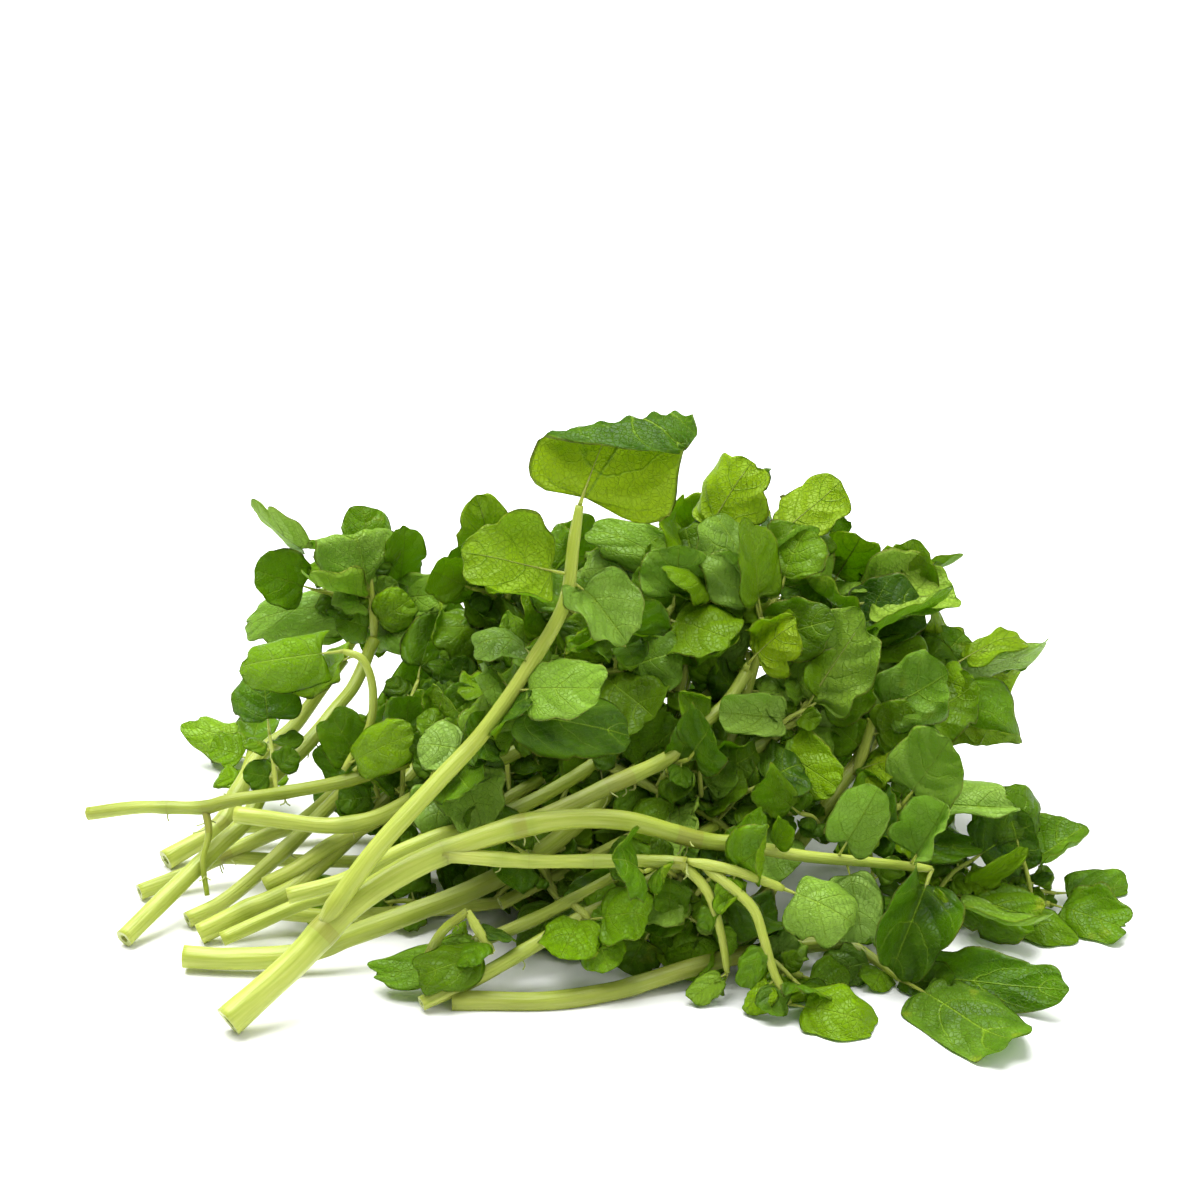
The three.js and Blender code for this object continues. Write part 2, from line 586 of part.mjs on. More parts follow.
const stemMaterial = new THREE.MeshStandardMaterial({ color: STEM_COLOUR, roughness: 0.5, metalness: 0 });
const leafMaterials = LEAF_COLOURS.map(
  (color) => new THREE.MeshStandardMaterial({ color, roughness: 0.45, metalness: 0 }));

const bunch = new THREE.Group();
const sprigGroups = SPRIGS.map(({ stem }, i) => {
  const group = new THREE.Group();
  group.name = `sprig_${i + 1}`;
  group.position.copy(point(stem[0][2][0]));
  bunch.add(group);
  return group;
});

// All the stems take their full shape first; the leaves then give way to them
SPRIGS.forEach(({ stem }, i) => {
  const body = fit((grow) => stemSolid(stem, grow));
  addPiece(sprigGroups[i], `stem_${i + 1}`, body, point(stem[0][2][0]), stemMaterial);
});
SPRIGS.forEach(({ leaves }, i) => {
  leaves.forEach((leaf, k) => {
    const body = fit((grow) => leafSolid(leaf, grow));
    const material = leafMaterials[(i + k) % leafMaterials.length];
    addPiece(sprigGroups[i], `leaf_${i + 1}_${k + 1}`, body, point(leaf[0][2][0]), material);
  });
});

export default bunch;
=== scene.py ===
"""A picked bunch of watercress lying on its side: juicy ribbed stems and thin, veined, wavy leaflets.

Every stem and every compound leaf of the frame is replaced by a finished piece that grows along the same
route.
"""
import math
import random

import bmesh
import bpy
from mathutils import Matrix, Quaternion, Vector
from mathutils.geometry import interpolate_bezier


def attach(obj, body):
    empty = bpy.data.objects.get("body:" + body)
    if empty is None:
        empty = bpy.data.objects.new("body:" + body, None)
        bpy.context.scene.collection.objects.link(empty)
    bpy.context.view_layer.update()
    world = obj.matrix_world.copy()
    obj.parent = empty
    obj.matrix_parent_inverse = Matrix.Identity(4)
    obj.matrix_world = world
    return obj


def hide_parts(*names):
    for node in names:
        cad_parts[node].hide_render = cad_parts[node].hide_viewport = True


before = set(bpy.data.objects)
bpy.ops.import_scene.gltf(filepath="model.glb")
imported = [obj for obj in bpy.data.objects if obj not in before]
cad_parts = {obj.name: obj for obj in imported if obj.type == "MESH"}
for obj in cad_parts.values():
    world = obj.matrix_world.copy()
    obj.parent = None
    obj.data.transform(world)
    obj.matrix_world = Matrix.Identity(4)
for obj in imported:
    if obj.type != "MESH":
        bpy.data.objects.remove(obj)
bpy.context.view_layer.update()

MM = 0.001
ORDER_OF_SIDES = (1, -1)  # a leaflet's upper sheet, then its under sheet
STEM_SKIN = 2  # places in a piece's list of materials, after the two sides of a leaflet
CUT_FACE = 3

# Camera and light
VIEW_ELEVATION = math.radians(24)
VIEW_DISTANCE = 0.8
VIEW_TARGET = Vector((0, 0, 0.067))
LENS = 120
SENSOR = 36
WORLD_LIGHT = 0.22
# Name, direction that it comes from, strength, and how broad it is in degrees
SUNS = (("light_from_above", (-0.2, 0.25, 1.0), 6.1, 55),
        ("light_from_the_right", (0.8, -0.4, 0.9), 1.1, 60))

# Leaflets
STALKLET_SHARE = 0.1  # share of a leaflet's length that is bare stalklet
OVAL = 2.7  # power of the plain oval that a leaflet's outline starts from: 2 is an ellipse
# Size and number of the waves round a leaflet's margin
LOBES = ((0.05, 3), (0.05, 5), (0.03, 8), (0.012, 13))
NOTCHES = 3
CALM_HEART = 0.16  # depth of the notch at the foot of a calm leaflet, and the size of its ripples
CALM_RIPPLE = 0.03
FOLDED_SHARE = 0.3  # share of the leaflets that have a corner turned over
CREASE_RADIUS = 0.9 * MM
USUAL_TURNS = (0, -20, 20)  # roll, cup and bend of a leaflet whose row does not give them
LEAST_HEIGHT = 0.6 * MM  # leaflets are pressed nearly flat below this height
HALF_THICKNESS = 0.17 * MM
RIM_CURL = 2.2
PUCKERS = 4.4  # from foot to tip
PUCKER_HEIGHT = 0.07  # as a share of the leaflet's half width
LEAST_RIB = 0.34 * MM  # radius of a midrib at the foot of a small leaflet
MOST_RIB = 0.5 * MM
RIB_SHARE = 0.055  # radius of a midrib at its foot, as a share of the leaflet's half width
RIB_REACH = 0.86  # share of the leaflet's length that the midrib runs along
RIB_STEPS = 12
RIB_SIDES = 6
LEAF_CELL = 0.78 * MM  # size of one face of a leaflet
MOST_CELLS = 44  # along or across a leaflet
LOWEST_TIP = 1  # height of the lowest leaflet tip above the surface, in millimetres

# Stems and leaf stalks
STALK_TONE = (0.6, 0.0, 0.5, 1.0)  # of midribs and short roots; leaf stalks change the first number
STEM_SIDES = 18
STEM_CELL = 1.3 * MM  # length of one face along a stem
STALK_SIDES = 10
ROOTED = 3.5 * MM  # length over which a leaf stalk reaches its full thickness
KNOT_REACH = 2.2 * MM  # how far a joint's swelling spreads along a stem
KNOT_SWELL = 0.09  # how much thicker a stem is at a joint
LUMP_LENGTH = 23 * MM
# Width and depth of the rings of a cut end, from the outside in, as shares of the stem's radius
CUT_RINGS = ((0.12, 0.0), (0.4, 0.05), (0.12, 0.4))
ROOT_RADIUS = 0.16 * MM  # of the short roots at a stem's joints
ROOT_CELL = 0.4 * MM
ROOT_SIDES = 6

# Young leaves: sizes in millimetres, as the least and the most
YOUNG_STALK = (8, 15)
YOUNG_REACH = (9, 18)  # from the end of the stalk to the tip
YOUNG_WIDTH = (9, 17)  # of the end leaflet
YOUNG_SIDE_LEAFLET = (5, 10)
LOWEST_SHOOT = 3  # height of the lowest end of a young leaf's stalk
BACK_EDGE = 66  # no young leaf's stalk or end tip reaches further back than this
SHOOTS = 3  # on the stalk of a leaf that starts behind FRONT_EDGE and left of RIGHT_EDGE and has side pairs
FRONT_EDGE = -20
RIGHT_EDGE = 60
# Leaves with another number of young leaves on their stalk
DENSE = {
    "leaf_2_2": 1, "leaf_2_3": 1, "leaf_2_4": 8, "leaf_3_1": 3, "leaf_3_2": 4, "leaf_4_1": 0, "leaf_4_2": 3,
    "leaf_4_3": 3, "leaf_4_4": 1, "leaf_5_2": 3, "leaf_5_3": 4, "leaf_7_1": 9, "leaf_8_1": 1, "leaf_9_1": 1,
    "leaf_9_2": 0, "leaf_11_1": 5, "leaf_13_1": 5, "leaf_14_1": 6, "leaf_15_1": 10, "leaf_16_1": 9,
}
# Young leaves that leave a stem, by stem and fork: how many, and between which shares of its length
YOUNG = {
    ("stem_5", 0): (4, 0.55, 0.9), ("stem_9", 1): (6, 0.55, 1), ("stem_10", 0): (1, 0.55, 0.65),
    ("stem_12", 0): (3, 0.35, 0.7), ("stem_12", 1): (9, 0.3, 1), ("stem_13", 0): (4, 0.4, 0.8),
    ("stem_14", 0): (4, 0.4, 0.9), ("stem_14", 1): (11, 0.35, 1), ("stem_15", 0): (4, 0.5, 0.95),
    ("stem_17", 0): (4, 0.4, 0.95), ("stem_20", 0): (5, 0.2, 0.9),
}

# Which way the upper sides of a leaf's leaflets face: up and to the front, or up and to the back
FRONT = (0, -0.6, 0.8)
BACK = (0, 0.6, 0.8)
NO_PAIRS = [0, 0]

# Leaflets with a look of their own, by leaf and number, with any of these:
# "fold" turns a corner over. It gives the crease's place as a share of the length and of the half width, the
# direction that it faces and how far it turns, both in degrees (minus = towards the underside).
# "start" is the share of the length where the blade begins, and "stretch" how many times longer the blade is
# than its row says. "lean" is how far it slants sideways per length, and "egg" how much broader its foot is.
# "behind" is how far it is pushed back, in millimetres. "calm" takes away its random curls and notches.
# "tone" is its lightness, yellowness, painted sheen and wear, and "under" is the same for its underside.
KNOWN = {
    # The end leaflet of leaf_1_1 has a bright yellow underside: partly its own paler colour, partly painted
    # light shining through it.
    ("leaf_1_1", 0): {"fold": (0.97, 0, 30, -155), "start": -0.09, "stretch": 1.9, "lean": -0.2, "egg": 0.5,
                      "calm": True, "tone": (0.1, 0.1, 0.1, 0.3), "under": (0.4, 0.85, 0.1, 0.3)},
    ("leaf_1_1", 1): {"fold": (0.5, 0.72, 90, -75), "tone": (0.3, 0.6, 0.1, 0.3)},
    ("leaf_1_1", 2): {"fold": (0.5, 0.05, 90, 60), "behind": 5, "tone": (0.6, 0.2, 0.85, 0.6)},
    ("leaf_1_1", 3): {"tone": (0.9, 0.4, 0.8, 0.2)},
    ("leaf_1_1", 4): {"tone": (0.25, 0.1, 0.5, 0.3)},
    ("leaf_1_1", 5): {"behind": 7, "tone": (0.3, 0.1, 0.8, 0.2)},
    ("leaf_1_1", 6): {"behind": 7, "tone": (0.7, 0.3, 0.7, 0.2)},
    ("leaf_1_2", 1): {"tone": (0.8, 0.3, 0.9, 0.3)},
    ("leaf_1_2", 2): {"fold": (0.5, 0.05, 90, 65), "tone": (0.8, 0.2, 0.9, 0.3)},
    ("leaf_1_2", 4): {"fold": (0.5, 0.1, 90, 60), "tone": (0.22, 0.1, 0.3, 0.3)},
    ("leaf_3_1", 0): {"tone": (0.3, 0.1, 0.7, 0.5)},
    ("leaf_8_1", 0): {"tone": (0.8, 0.4, 0.85, 0.4)},
    ("leaf_8_1", 1): {"tone": (0.9, 0.5, 0.8, 0.4)},
    ("leaf_8_1", 2): {"start": 0.5, "tone": (0.9, 0.3, 0.95, 0.4)},
    ("leaf_9_1", 1): {"tone": (0.9, 0.6, 0.8, 0.4)},
    ("leaf_9_1", 0): {"tone": (0.6, 0.4, 0.5, 0.4)},
    ("leaf_9_1", 2): {"tone": (0.8, 0.3, 0.9, 0.4)},
    ("leaf_1_3", 0): {"tone": (0.9, 0.5, 0.9, 0.2)},
    ("leaf_4_1", 0): {"tone": (0.5, 0.1, 0.7, 0.8)},
    ("leaf_4_2", 0): {"tone": (0.35, 0.3, 0.1, 0.7)},
    ("leaf_4_3", 0): {"fold": (0.5, 0.1, 80, 75), "tone": (0.75, 0.3, 0.95, 0.4)},
    ("leaf_4_4", 0): {"fold": (0.5, 0.45, 90, -70), "tone": (0.8, 0.5, 0.8, 0.1)},
    ("leaf_5_1", 0): {"tone": (0.35, 0.1, 0.6, 0.9)},
    ("leaf_5_1", 1): {"tone": (0.25, 0.1, 0.4, 0.5)},
}
PLAIN = {}

# The frame's routes, in millimetres. Each axis is [first radius, last radius, points], and the first axis of
# a stem is its main one. Each leaf is [stalk axis, leaflets, [pairs of plain side leaflets, their length,
# facing]]. Each leaflet is [place along the stalk from 0 to 1, tip, width, roll, cup, bend]. Its last three
# are in degrees, and are left out where they are the usual ones.
SPRIGS = [
  {"stem": [
    [3.1, 1.6, [[-72, -57, 3], [-60, -49, 11], [-50, -42, 19], [-39, -37, 25], [-27, -33, 29],
      [-12, -31, 33], [4, -30, 33], [20, -29, 28], [28, -29, 27]]],
    [1.5, 1.2, [[-31, -35, 28], [-14, -34, 26], [0, -34, 26], [11, -34, 26], [17, -35, 26]]],
    [1.8, 1.2, [[-14, -30, 32], [1, -22, 36], [8, -17, 37], [14, -12, 38], [19, -6, 41], [25, -1, 44],
      [30, 5, 49]]],
  ], "leaves": [
    [[2.1, 1.2, [[-54, -45, 18], [-44, -40, 31], [-32, -32, 42], [-23, -26, 50], [-14, -19, 61],
      [-7, -13, 72], [-5, -8, 84], [-4, -6, 90]]], [
      [1, [2, 1, 104], 26, 180, 20, -20], [0.86, [-26, -14, 84], 18, 180, -15, 10],
      [0.85, [5, -20, 65], 19, 10, -40, 30], [0.6, [1, -30, 61], 14, 0, -30, 20],
      [0.55, [6, -26, 50], 14, 20, -20, 20], [0.68, [-25, -22, 65], 13, 20, -30, 20],
      [0.6, [-23, -26, 56], 14, -10, -30, 20],
    ], NO_PAIRS],
    [[1.4, 0.9, [[28, -29, 27], [40, -28, 24], [54, -27, 22], [66, -26, 20]]], [
      [0.17, [37, -32, 34], 6, 0, 10, 10], [0.5, [55, -32, 42], 12, 20, 20, -10],
      [0.88, [69, -30, 38], 14, 0, 40, 0], [0.55, [52, -36, 9], 11, 0, 0, 30],
      [1, [57, -42, 5], 19, -10, 50, 30], [1, [63, -33, 3], 12, 40, 30, 30],
    ], NO_PAIRS],
    [[1.2, 0.9, [[17, -34, 26], [26, -36, 25], [36, -38, 22]]], [
      [1, [50, -43, 17], 16, 0, -30, 30], [0.5, [24, -40, 17], 6, 0, 0, 20],
    ], NO_PAIRS],
    [[1.2, 0.8, [[20, -34, 25], [26, -38, 22], [30, -41, 19], [32, -44, 14], [34, -47, 8], [37, -50, 3]]], [
      [1, [54, -58, 3], 13], [0.85, [33, -52, 1], 7, 0, 20, 20], [0.83, [28, -50, 1], 7, 0, 20, 20],
      [0.6, [28, -48, 5], 6, 0, 0, 20],
    ], NO_PAIRS],
    [[1.2, 0.7, [[15, -33, 26], [20, -36, 22], [22, -38, 19], [24, -41, 12], [25, -43, 6]]], [
      [1, [18, -45, 1], 6, 0, 20, 30], [1, [24, -43, 1], 5, 90, 20, 10], [0.62, [27, -40, 9], 5, 0, 30, 0],
      [0.45, [20, -40, 14], 5, 0, 30, 0],
    ], NO_PAIRS],
    [[1.1, 0.8, [[29, 5, 48], [30, 4, 51]]], [
      [1, [39, 2, 61], 13, 170, 10, -20],
    ], NO_PAIRS],
  ]},
  {"stem": [
    [2.3, 1.8, [[-83, -31, 3], [-74, -32, 3], [-60, -32, 4], [-50, -30, 7], [-39, -27, 10], [-24, -22, 14],
      [-12, -17, 19], [-2, -10, 25], [5, -2, 30], [12, 4, 33], [15, 8, 35]]],
    [1.2, 1.0, [[14, 6, 34], [20, 10, 39], [24, 12, 42], [28, 14, 44]]],
  ], "leaves": [
    [[1.5, 1.0, [[14, 8, 36], [16, 10, 42], [18, 13, 50], [20, 15, 56], [23, 18, 61]]], [
      [1, [14, 10, 69], 10, 10, -40, 20], [1, [29, 16, 70], 10, 30, -30, 10],
      [0.45, [29, 8, 56], 11, 150, 10, -10], [0.55, [6, 8, 55], 7, 60, 0, 30],
    ], [2, 10]],
    [[1.3, 0.8, [[15, 9, 35], [18, 18, 42], [20, 23, 53], [21, 27, 68]]], [
      [1, [31, 30, 85], 16, 170, 10, -10], [0.82, [10, 26, 77], 14, 60, 10, 10],
      [0.55, [6, 18, 64], 10, 20, -20, 20], [0.8, [-2, 30, 71], 11],
    ], [3, 13]],
    [[1.2, 0.8, [[28, 14, 44], [30, 20, 50], [34, 27, 61], [36, 30, 67]]], [
      [1, [50, 38, 76], 14, 170, 0, -20], [0.9, [50, 32, 69], 11, 30, -20, 20],
      [0.75, [43, 26, 73], 10, 80, 20, 10],
    ], [2, 12]],
    [[1.2, 0.8, [[-12, -17, 19], [-10, -18, 12], [-5, -20, 6]]], [
      [1, [4, -22, 2], 13], [1, [-8, -28, 2], 11, 10, -20, 20],
    ], [1, 14]],
  ]},
  {"stem": [
    [1.3, 1.2, [[-20, -22, 10], [-5, -15, 15], [11, -11, 22], [18, -6, 25], [24, -4, 30], [28, -2, 32],
      [32, 0, 34], [37, 3, 36], [40, 5, 37]]],
  ], "leaves": [
    [[1.2, 0.9, [[32, 0, 34], [37, 2, 37], [41, 4, 39]]], [
      [1, [54, 8, 59], 19, 170, -10, -20], [0.9, [23, -4, 44], 11, -20, 60, 10],
      [0.2, [48, -8, 29], 13, 10, -20, 20],
    ], [1, 11]],
    [[1.2, 0.8, [[24, -4, 30], [28, 6, 37], [32, 12, 48], [33, 14, 57]]], [
      [1, [31, 16, 77], 12, 40, 40, -10], [0.97, [24, 24, 76], 18, 20, -40, 30],
      [0.85, [47, 8, 59], 13, 20, -20, 20],
    ], [3, 14]],
  ]},
  {"stem": [
    [1.8, 1.4, [[0, -20, 2], [18, -20, 4], [32, -19, 9], [36, -14, 13], [42, -8, 19], [50, 0, 27],
      [53, 3, 30], [56, 7, 37]]],
  ], "leaves": [
    [[1.3, 0.9, [[52, 0, 28], [54, 2, 33], [56, 5, 39]]], [
      [1, [71, 2, 50], 18, 10, 60, -10], [0.05, [61, -4, 34], 12, 160, 0, -10],
    ], [1, 13]],
    [[1.3, 0.8, [[53, 4, 28], [59, 14, 32], [66, 20, 38], [73, 22, 42]]], [
      [1, [80, 8, 23], 21, 10, -20, 30], [1, [88, 28, 48], 10, 150, 10, -10],
      [0.95, [95, 30, 42], 7, 80, 20, 10],
    ], [3, 16]],
    [[1.2, 0.8, [[42, -8, 19], [51, -8, 21], [61, -8, 25]]], [
      [1, [84, -6, 23], 17, 10, -50, 30], [0.7, [81, -2, 11], 4, 80, 0, 10],
      [1, [70, -12, 42], 17, 10, 20, -20], [0.5, [75, -12, 15], 10, 0, 0, 20],
    ], [2, 13]],
    [[1.3, 0.8, [[53, 4, 30], [52, 16, 37], [51, 24, 45], [52, 30, 52]]], [
      [1, [74, 34, 52], 21, 160, -50, -30], [0.95, [41, 20, 62], 16, 40, 70, 10],
      [0.8, [71, 20, 60], 18, 120, 20, 10], [0.7, [75, 18, 48], 7, 0, 0, 20],
    ], [3, 16]],
  ]},
  {"stem": [
    [2.0, 1.5, [[-29, -46, 1.4], [-24, -46, 1.4], [-10, -46, 1.4], [3, -43, 2], [11, -40, 3], [17, -38, 4],
      [28, -34, 5], [41, -30, 5], [49, -28, 5], [57, -22, 6], [66, -14, 7]]],
  ], "leaves": [
    [[1.3, 0.8, [[49, -28, 5], [55, -33, 3], [60, -39, 2]]], [
      [1, [80, -67, 1], 19, 0, -10, 20], [0.9, [91, -48, 4], 13], [0.8, [69, -44, 3], 11, 20, 10, 20],
      [0.5, [44, -35, 1], 11],
    ], [1, 12]],
    [[1.2, 0.8, [[64, -16, 7], [68, -14, 8], [72, -12, 7]]], [
      [1, [89, -24, 7], 13, 0, -20, 10], [1, [86, -14, 18], 6, 70, 30, 10],
      [0.6, [89, -36, 10], 7, -30, 60, -10],
    ], [1, 10]],
    [[1.2, 0.8, [[66, -14, 7], [79, -8, 3], [92, -9, 3]]], [
      [1, [107, -19, 2], 12, 0, -30, 20], [0.6, [95, -22, 1], 10, 0, -10, 10],
      [0.3, [81, 0, 4], 6, 0, -20, 10],
    ], [2, 10]],
    [[1.2, 0.8, [[28, -34, 5], [34, -37, 4], [40, -39, 3]]], [
      [1, [49, -41, 1], 12], [0.7, [36, -32, 8], 11],
    ], [1, 13]],
  ]},
  {"stem": [
    [1.3, 1.2, [[-34, -38, 6], [-24, -36, 9], [-13, -34, 13], [-6, -32, 16], [6, -26, 20], [16, -18, 21],
      [24, -10, 22]]],
    [1.1, 0.8, [[-34, -38, 6], [-31, -39, 13], [-26, -38, 17]]],
  ], "leaves": [
    [[1.1, 0.8, [[-6, -32, 16], [-2, -36, 14]]], [
      [1, [12, -42, 19], 13], [0.9, [2, -44, 7], 11, 10, -20, 20],
    ], [1, 13]],
    [[1.2, 0.8, [[-26, -38, 17], [-24, -40, 14], [-21, -42, 10]]], [
      [1, [-36, -48, 8], 11, 0, -20, 10], [0.9, [-43, -38, 1], 10, 0, 0, 20], [0.5, [-32, -36, 2], 12],
    ], [1, 10]],
  ]},
  {"stem": [
    [1.5, 1.3, [[-35, -48, 2], [-24, -43, 5], [-13, -39, 10], [-3, -34, 14], [6, -30, 17], [15, -26, 20],
      [24, -20, 19], [35, -10, 17]]],
  ], "leaves": [
    [[1.2, 0.8, [[15, -26, 20], [17, -29, 15], [20, -31, 10]]], [
      [1, [27, -34, 3], 14], [1, [17, -38, 1], 13], [0.6, [12, -28, 5], 11, 0, 0, 20],
      [0.6, [31, -28, 8], 12, 0, 0, 20],
    ], [2, 14]],
  ]},
  {"stem": [
    [2.0, 1.3, [[-96, -22, 2], [-87, -11, 7], [-78, 0, 12], [-73, 5, 15], [-69, 12, 20], [-62, 20, 24],
      [-56, 28, 29], [-52, 34, 32], [-48, 42, 39]]],
  ], "leaves": [
    [[1.2, 0.8, [[-48, 42, 39], [-48, 44, 44], [-49, 46, 47]]], [
      [1, [-54, 50, 67], 19, 20, -40, 30], [1, [-62, 36, 54], 10, 40, 60, 10],
      [0.95, [-75, 50, 65], 10, 100, 30, 10],
    ], [2, 11]],
  ]},
  {"stem": [
    [2.2, 1.3, [[-91, 12, 2], [-80, 20, 6], [-77, 26, 10], [-72, 34, 16], [-66, 40, 19], [-62, 44, 23],
      [-55, 48, 32]]],
    [1.5, 1.1, [[-80, 20, 6], [-62, 24, 4], [-38, 26, 4], [-12, 28, 6], [14, 30, 12]]],
  ], "leaves": [
    [[1.2, 0.8, [[-55, 48, 32], [-50, 52, 40], [-43, 52, 46]]], [
      [1, [-41, 50, 61], 10, 40, 50, -10], [0.8, [-31, 44, 49], 10, 20, -10, 20],
      [0.7, [-77, 48, 41], 12, 0, -30, 30], [0.4, [-38, 40, 42], 11, 20, -20, 20],
    ], [3, 12]],
    [[1.1, 0.8, [[-77, 26, 10], [-76, 44, 9], [-76, 56, 8]]], [
      [1, [-90, 64, 7], 11], [1, [-85, 66, 1], 11, 0, -30, 20], [0.9, [-75, 67, 9], 10],
    ], [2, 10]],
  ]},
  {"stem": [
    [1.4, 1.3, [[-106, 8, 15], [-95, 5, 18], [-81, 1, 20], [-76, 0, 22], [-64, -2, 25], [-50, -4, 29],
      [-39, -2, 32]]],
    [0.8, 0.5, [[-81, 1, 20], [-80, -3, 16], [-81, -7, 12], [-80, -11, 6]]],
  ], "leaves": [
    [[1.0, 0.8, [[-52, -4, 31], [-47, 0, 38], [-46, 2, 46], [-48, 4, 52], [-52, 6, 53]]], [
      [1, [-74, 14, 46], 17, -20, -60, 20], [0.05, [-38, -10, 42], 11, 20, -20, 20],
      [0.9, [-62, 20, 38], 10, 0, 0, 20],
    ], NO_PAIRS],
  ]},
  {"stem": [
    [1.7, 1.5, [[-74, -6, 22], [-67, -8, 22], [-55, -9, 21], [-46, -10, 23], [-36, -9, 28], [-24, -5, 32],
      [-14, 0, 35], [-4, 6, 39]]],
  ], "leaves": [
    [[1.2, 0.8, [[-36, -8, 28], [-30, -14, 35], [-26, -18, 42]]], [
      [1, [-36, -18, 44], 13], [0.8, [-23, -26, 29], 14, 10, -20, 20],
      [0.5, [-33, -24, 27], 13, 0, -30, 20], [1, [-18, -16, 52], 12, 20, -20, 20],
    ], [1, 14]],
  ]},
  {"stem": [
    [1.6, 1.4, [[-95, -2, 2], [-85, 3, 4], [-79, 6, 6], [-68, 9, 10], [-63, 11, 11], [-53, 18, 17],
      [-42, 25, 23], [-35, 30, 26], [-28, 34, 29], [-13, 40, 38]]],
    [1.4, 1.0, [[-79, 6, 6], [-60, 8, 4], [-36, 8, 4], [-12, 10, 5], [12, 12, 6], [32, 14, 12]]],
  ], "leaves": [
    [[1.2, 0.8, [[-28, 34, 29], [-23, 36, 37], [-21, 36, 46], [-19, 33, 54]]], [
      [1, [-27, 34, 64], 13, 20, -20, 20], [0.8, [-6, 34, 58], 14, 10, -20, 20],
      [0.6, [-37, 32, 46], 16, 20, -30, 20], [0.4, [-8, 26, 44], 14, 10, -20, 20],
    ], [2, 13]],
  ]},
  {"stem": [
    [1.6, 1.4, [[-84, -14, 2], [-77, -10, 4], [-67, -3, 10], [-57, 5, 17], [-52, 8, 21], [-41, 14, 27],
      [-33, 20, 30], [-27, 24, 32], [-15, 30, 39]]],
  ], "leaves": [
    [[1.2, 0.8, [[-27, 24, 32], [-19, 24, 38], [-11, 24, 45], [-4, 25, 52]]], [
      [1, [4, 27, 64], 17, 20, -20, 20], [0.8, [9, 18, 50], 16, 10, -20, 20],
      [0.6, [-21, 22, 52], 14, 10, -20, 20], [0.4, [0, 14, 40], 14],
    ], [2, 14]],
  ]},
  {"stem": [
    [2.2, 1.5, [[-81, -20, 2], [-71, -17, 6], [-64, -14, 8], [-55, -6, 13], [-41, 4, 23], [-35, 10, 27],
      [-20, 18, 33]]],
    [1.5, 1.1, [[-71, -17, 6], [-55, -16, 4], [-38, -14, 4], [-20, -12, 5], [-4, -4, 4], [14, -4, 5]]],
  ], "leaves": [
    [[1.2, 0.8, [[-20, 18, 33], [-12, 14, 38], [-4, 12, 44], [5, 8, 48]]], [
      [1, [16, 4, 54], 17, 20, -20, 20], [0.8, [12, -6, 43], 17, 10, -20, 20],
      [0.5, [0, 0, 35], 16, 10, -20, 20], [0.4, [-14, 16, 50], 14, 20, -20, 20],
    ], [2, 14]],
  ]},
  {"stem": [
    [1.5, 1.3, [[-76, -24, 3], [-70, -22, 5], [-60, -20, 9], [-54, -18, 10], [-40, -14, 16], [-26, -8, 22],
      [-12, 0, 27]]],
  ], "leaves": [
    [[1.2, 0.8, [[-12, 0, 27], [-10, -4, 20], [-5, -8, 13], [1, -11, 8]]], [
      [1, [12, -16, 3], 16], [0.7, [-14, -12, 5], 13], [0.9, [6, 0, 3], 13],
    ], [3, 14]],
  ]},
  {"stem": [
    [1.6, 1.4, [[-62, -28, 15], [-51, -27, 18], [-45, -26, 21], [-33, -24, 26], [-24, -20, 27],
      [-12, -12, 29], [0, -4, 33]]],
  ], "leaves": [
    [[1.2, 0.8, [[0, -4, 33], [10, -7, 29], [20, -10, 25], [28, -12, 20]]], [
      [1, [40, -16, 16], 16], [0.6, [28, -6, 34], 14, 10, -20, 20], [0.4, [12, -18, 20], 13],
    ], [3, 15]],
  ]},
  {"stem": [
    [1.6, 1.3, [[-68, -12, 9], [-62, -11, 12], [-54, -7, 16], [-44, -3, 20], [-36, -1, 24], [-24, 3, 31],
      [-12, 10, 40]]],
  ], "leaves": [
    [[1.2, 0.8, [[-12, 10, 40], [0, 13, 46], [10, 14, 53], [15, 15, 59]]], [
      [1, [16, 18, 71], 16, 20, -20, 20], [0.9, [27, 4, 56], 17], [0.5, [1, 10, 57], 16, 10, -20, 20],
    ], [2, 14]],
  ]},
  {"stem": [
    [1.6, 1.3, [[-59, 42, 10], [-43, 44, 16], [-38, 45, 23], [-31, 45, 29], [-26, 45, 33], [-9, 46, 44],
      [9, 46, 52]]],
  ], "leaves": [
    [[1.2, 0.8, [[9, 46, 52], [18, 49, 57], [27, 50, 58]]], [
      [1, [40, 54, 60], 17], [1, [28, 62, 48], 16], [0.7, [12, 60, 54], 14, 20, -20, 20],
      [0.6, [24, 44, 70], 14, -20, 10, 20], [0.3, [6, 58, 40], 14],
    ], [2, 16, BACK]],
    [[1.2, 0.8, [[-26, 45, 33], [-22, 47, 40], [-14, 49, 46]]], [
      [1, [-6, 56, 54], 16], [1, [-22, 54, 56], 14], [0.6, [-10, 58, 38], 14], [0.5, [-34, 52, 42], 13],
      [0.3, [-24, 58, 30], 13],
    ], [2, 16, BACK]],
  ]},
  {"stem": [
    [1.6, 1.3, [[-53, 50, 8], [-33, 52, 14], [-9, 54, 24], [17, 50, 36], [38, 46, 46]]],
  ], "leaves": [
    [[1.2, 0.8, [[38, 46, 46], [48, 46, 50], [57, 44, 50]]], [
      [1, [72, 48, 54], 18], [1, [60, 57, 41], 16], [0.6, [46, 60, 48], 16, 10, -20, 20],
      [0.6, [54, 36, 64], 16, -20, 10, 20], [0.3, [44, 58, 34], 14],
    ], [2, 16, BACK]],
    [[1.2, 0.8, [[-9, 54, 24], [0, 55, 24], [8, 56, 22]]], [
      [1, [20, 62, 18], 14], [1, [8, 66, 8], 13], [0.5, [-4, 64, 30], 13],
      [0.4, [-14, 62, 14], 12, 20, -20, 20],
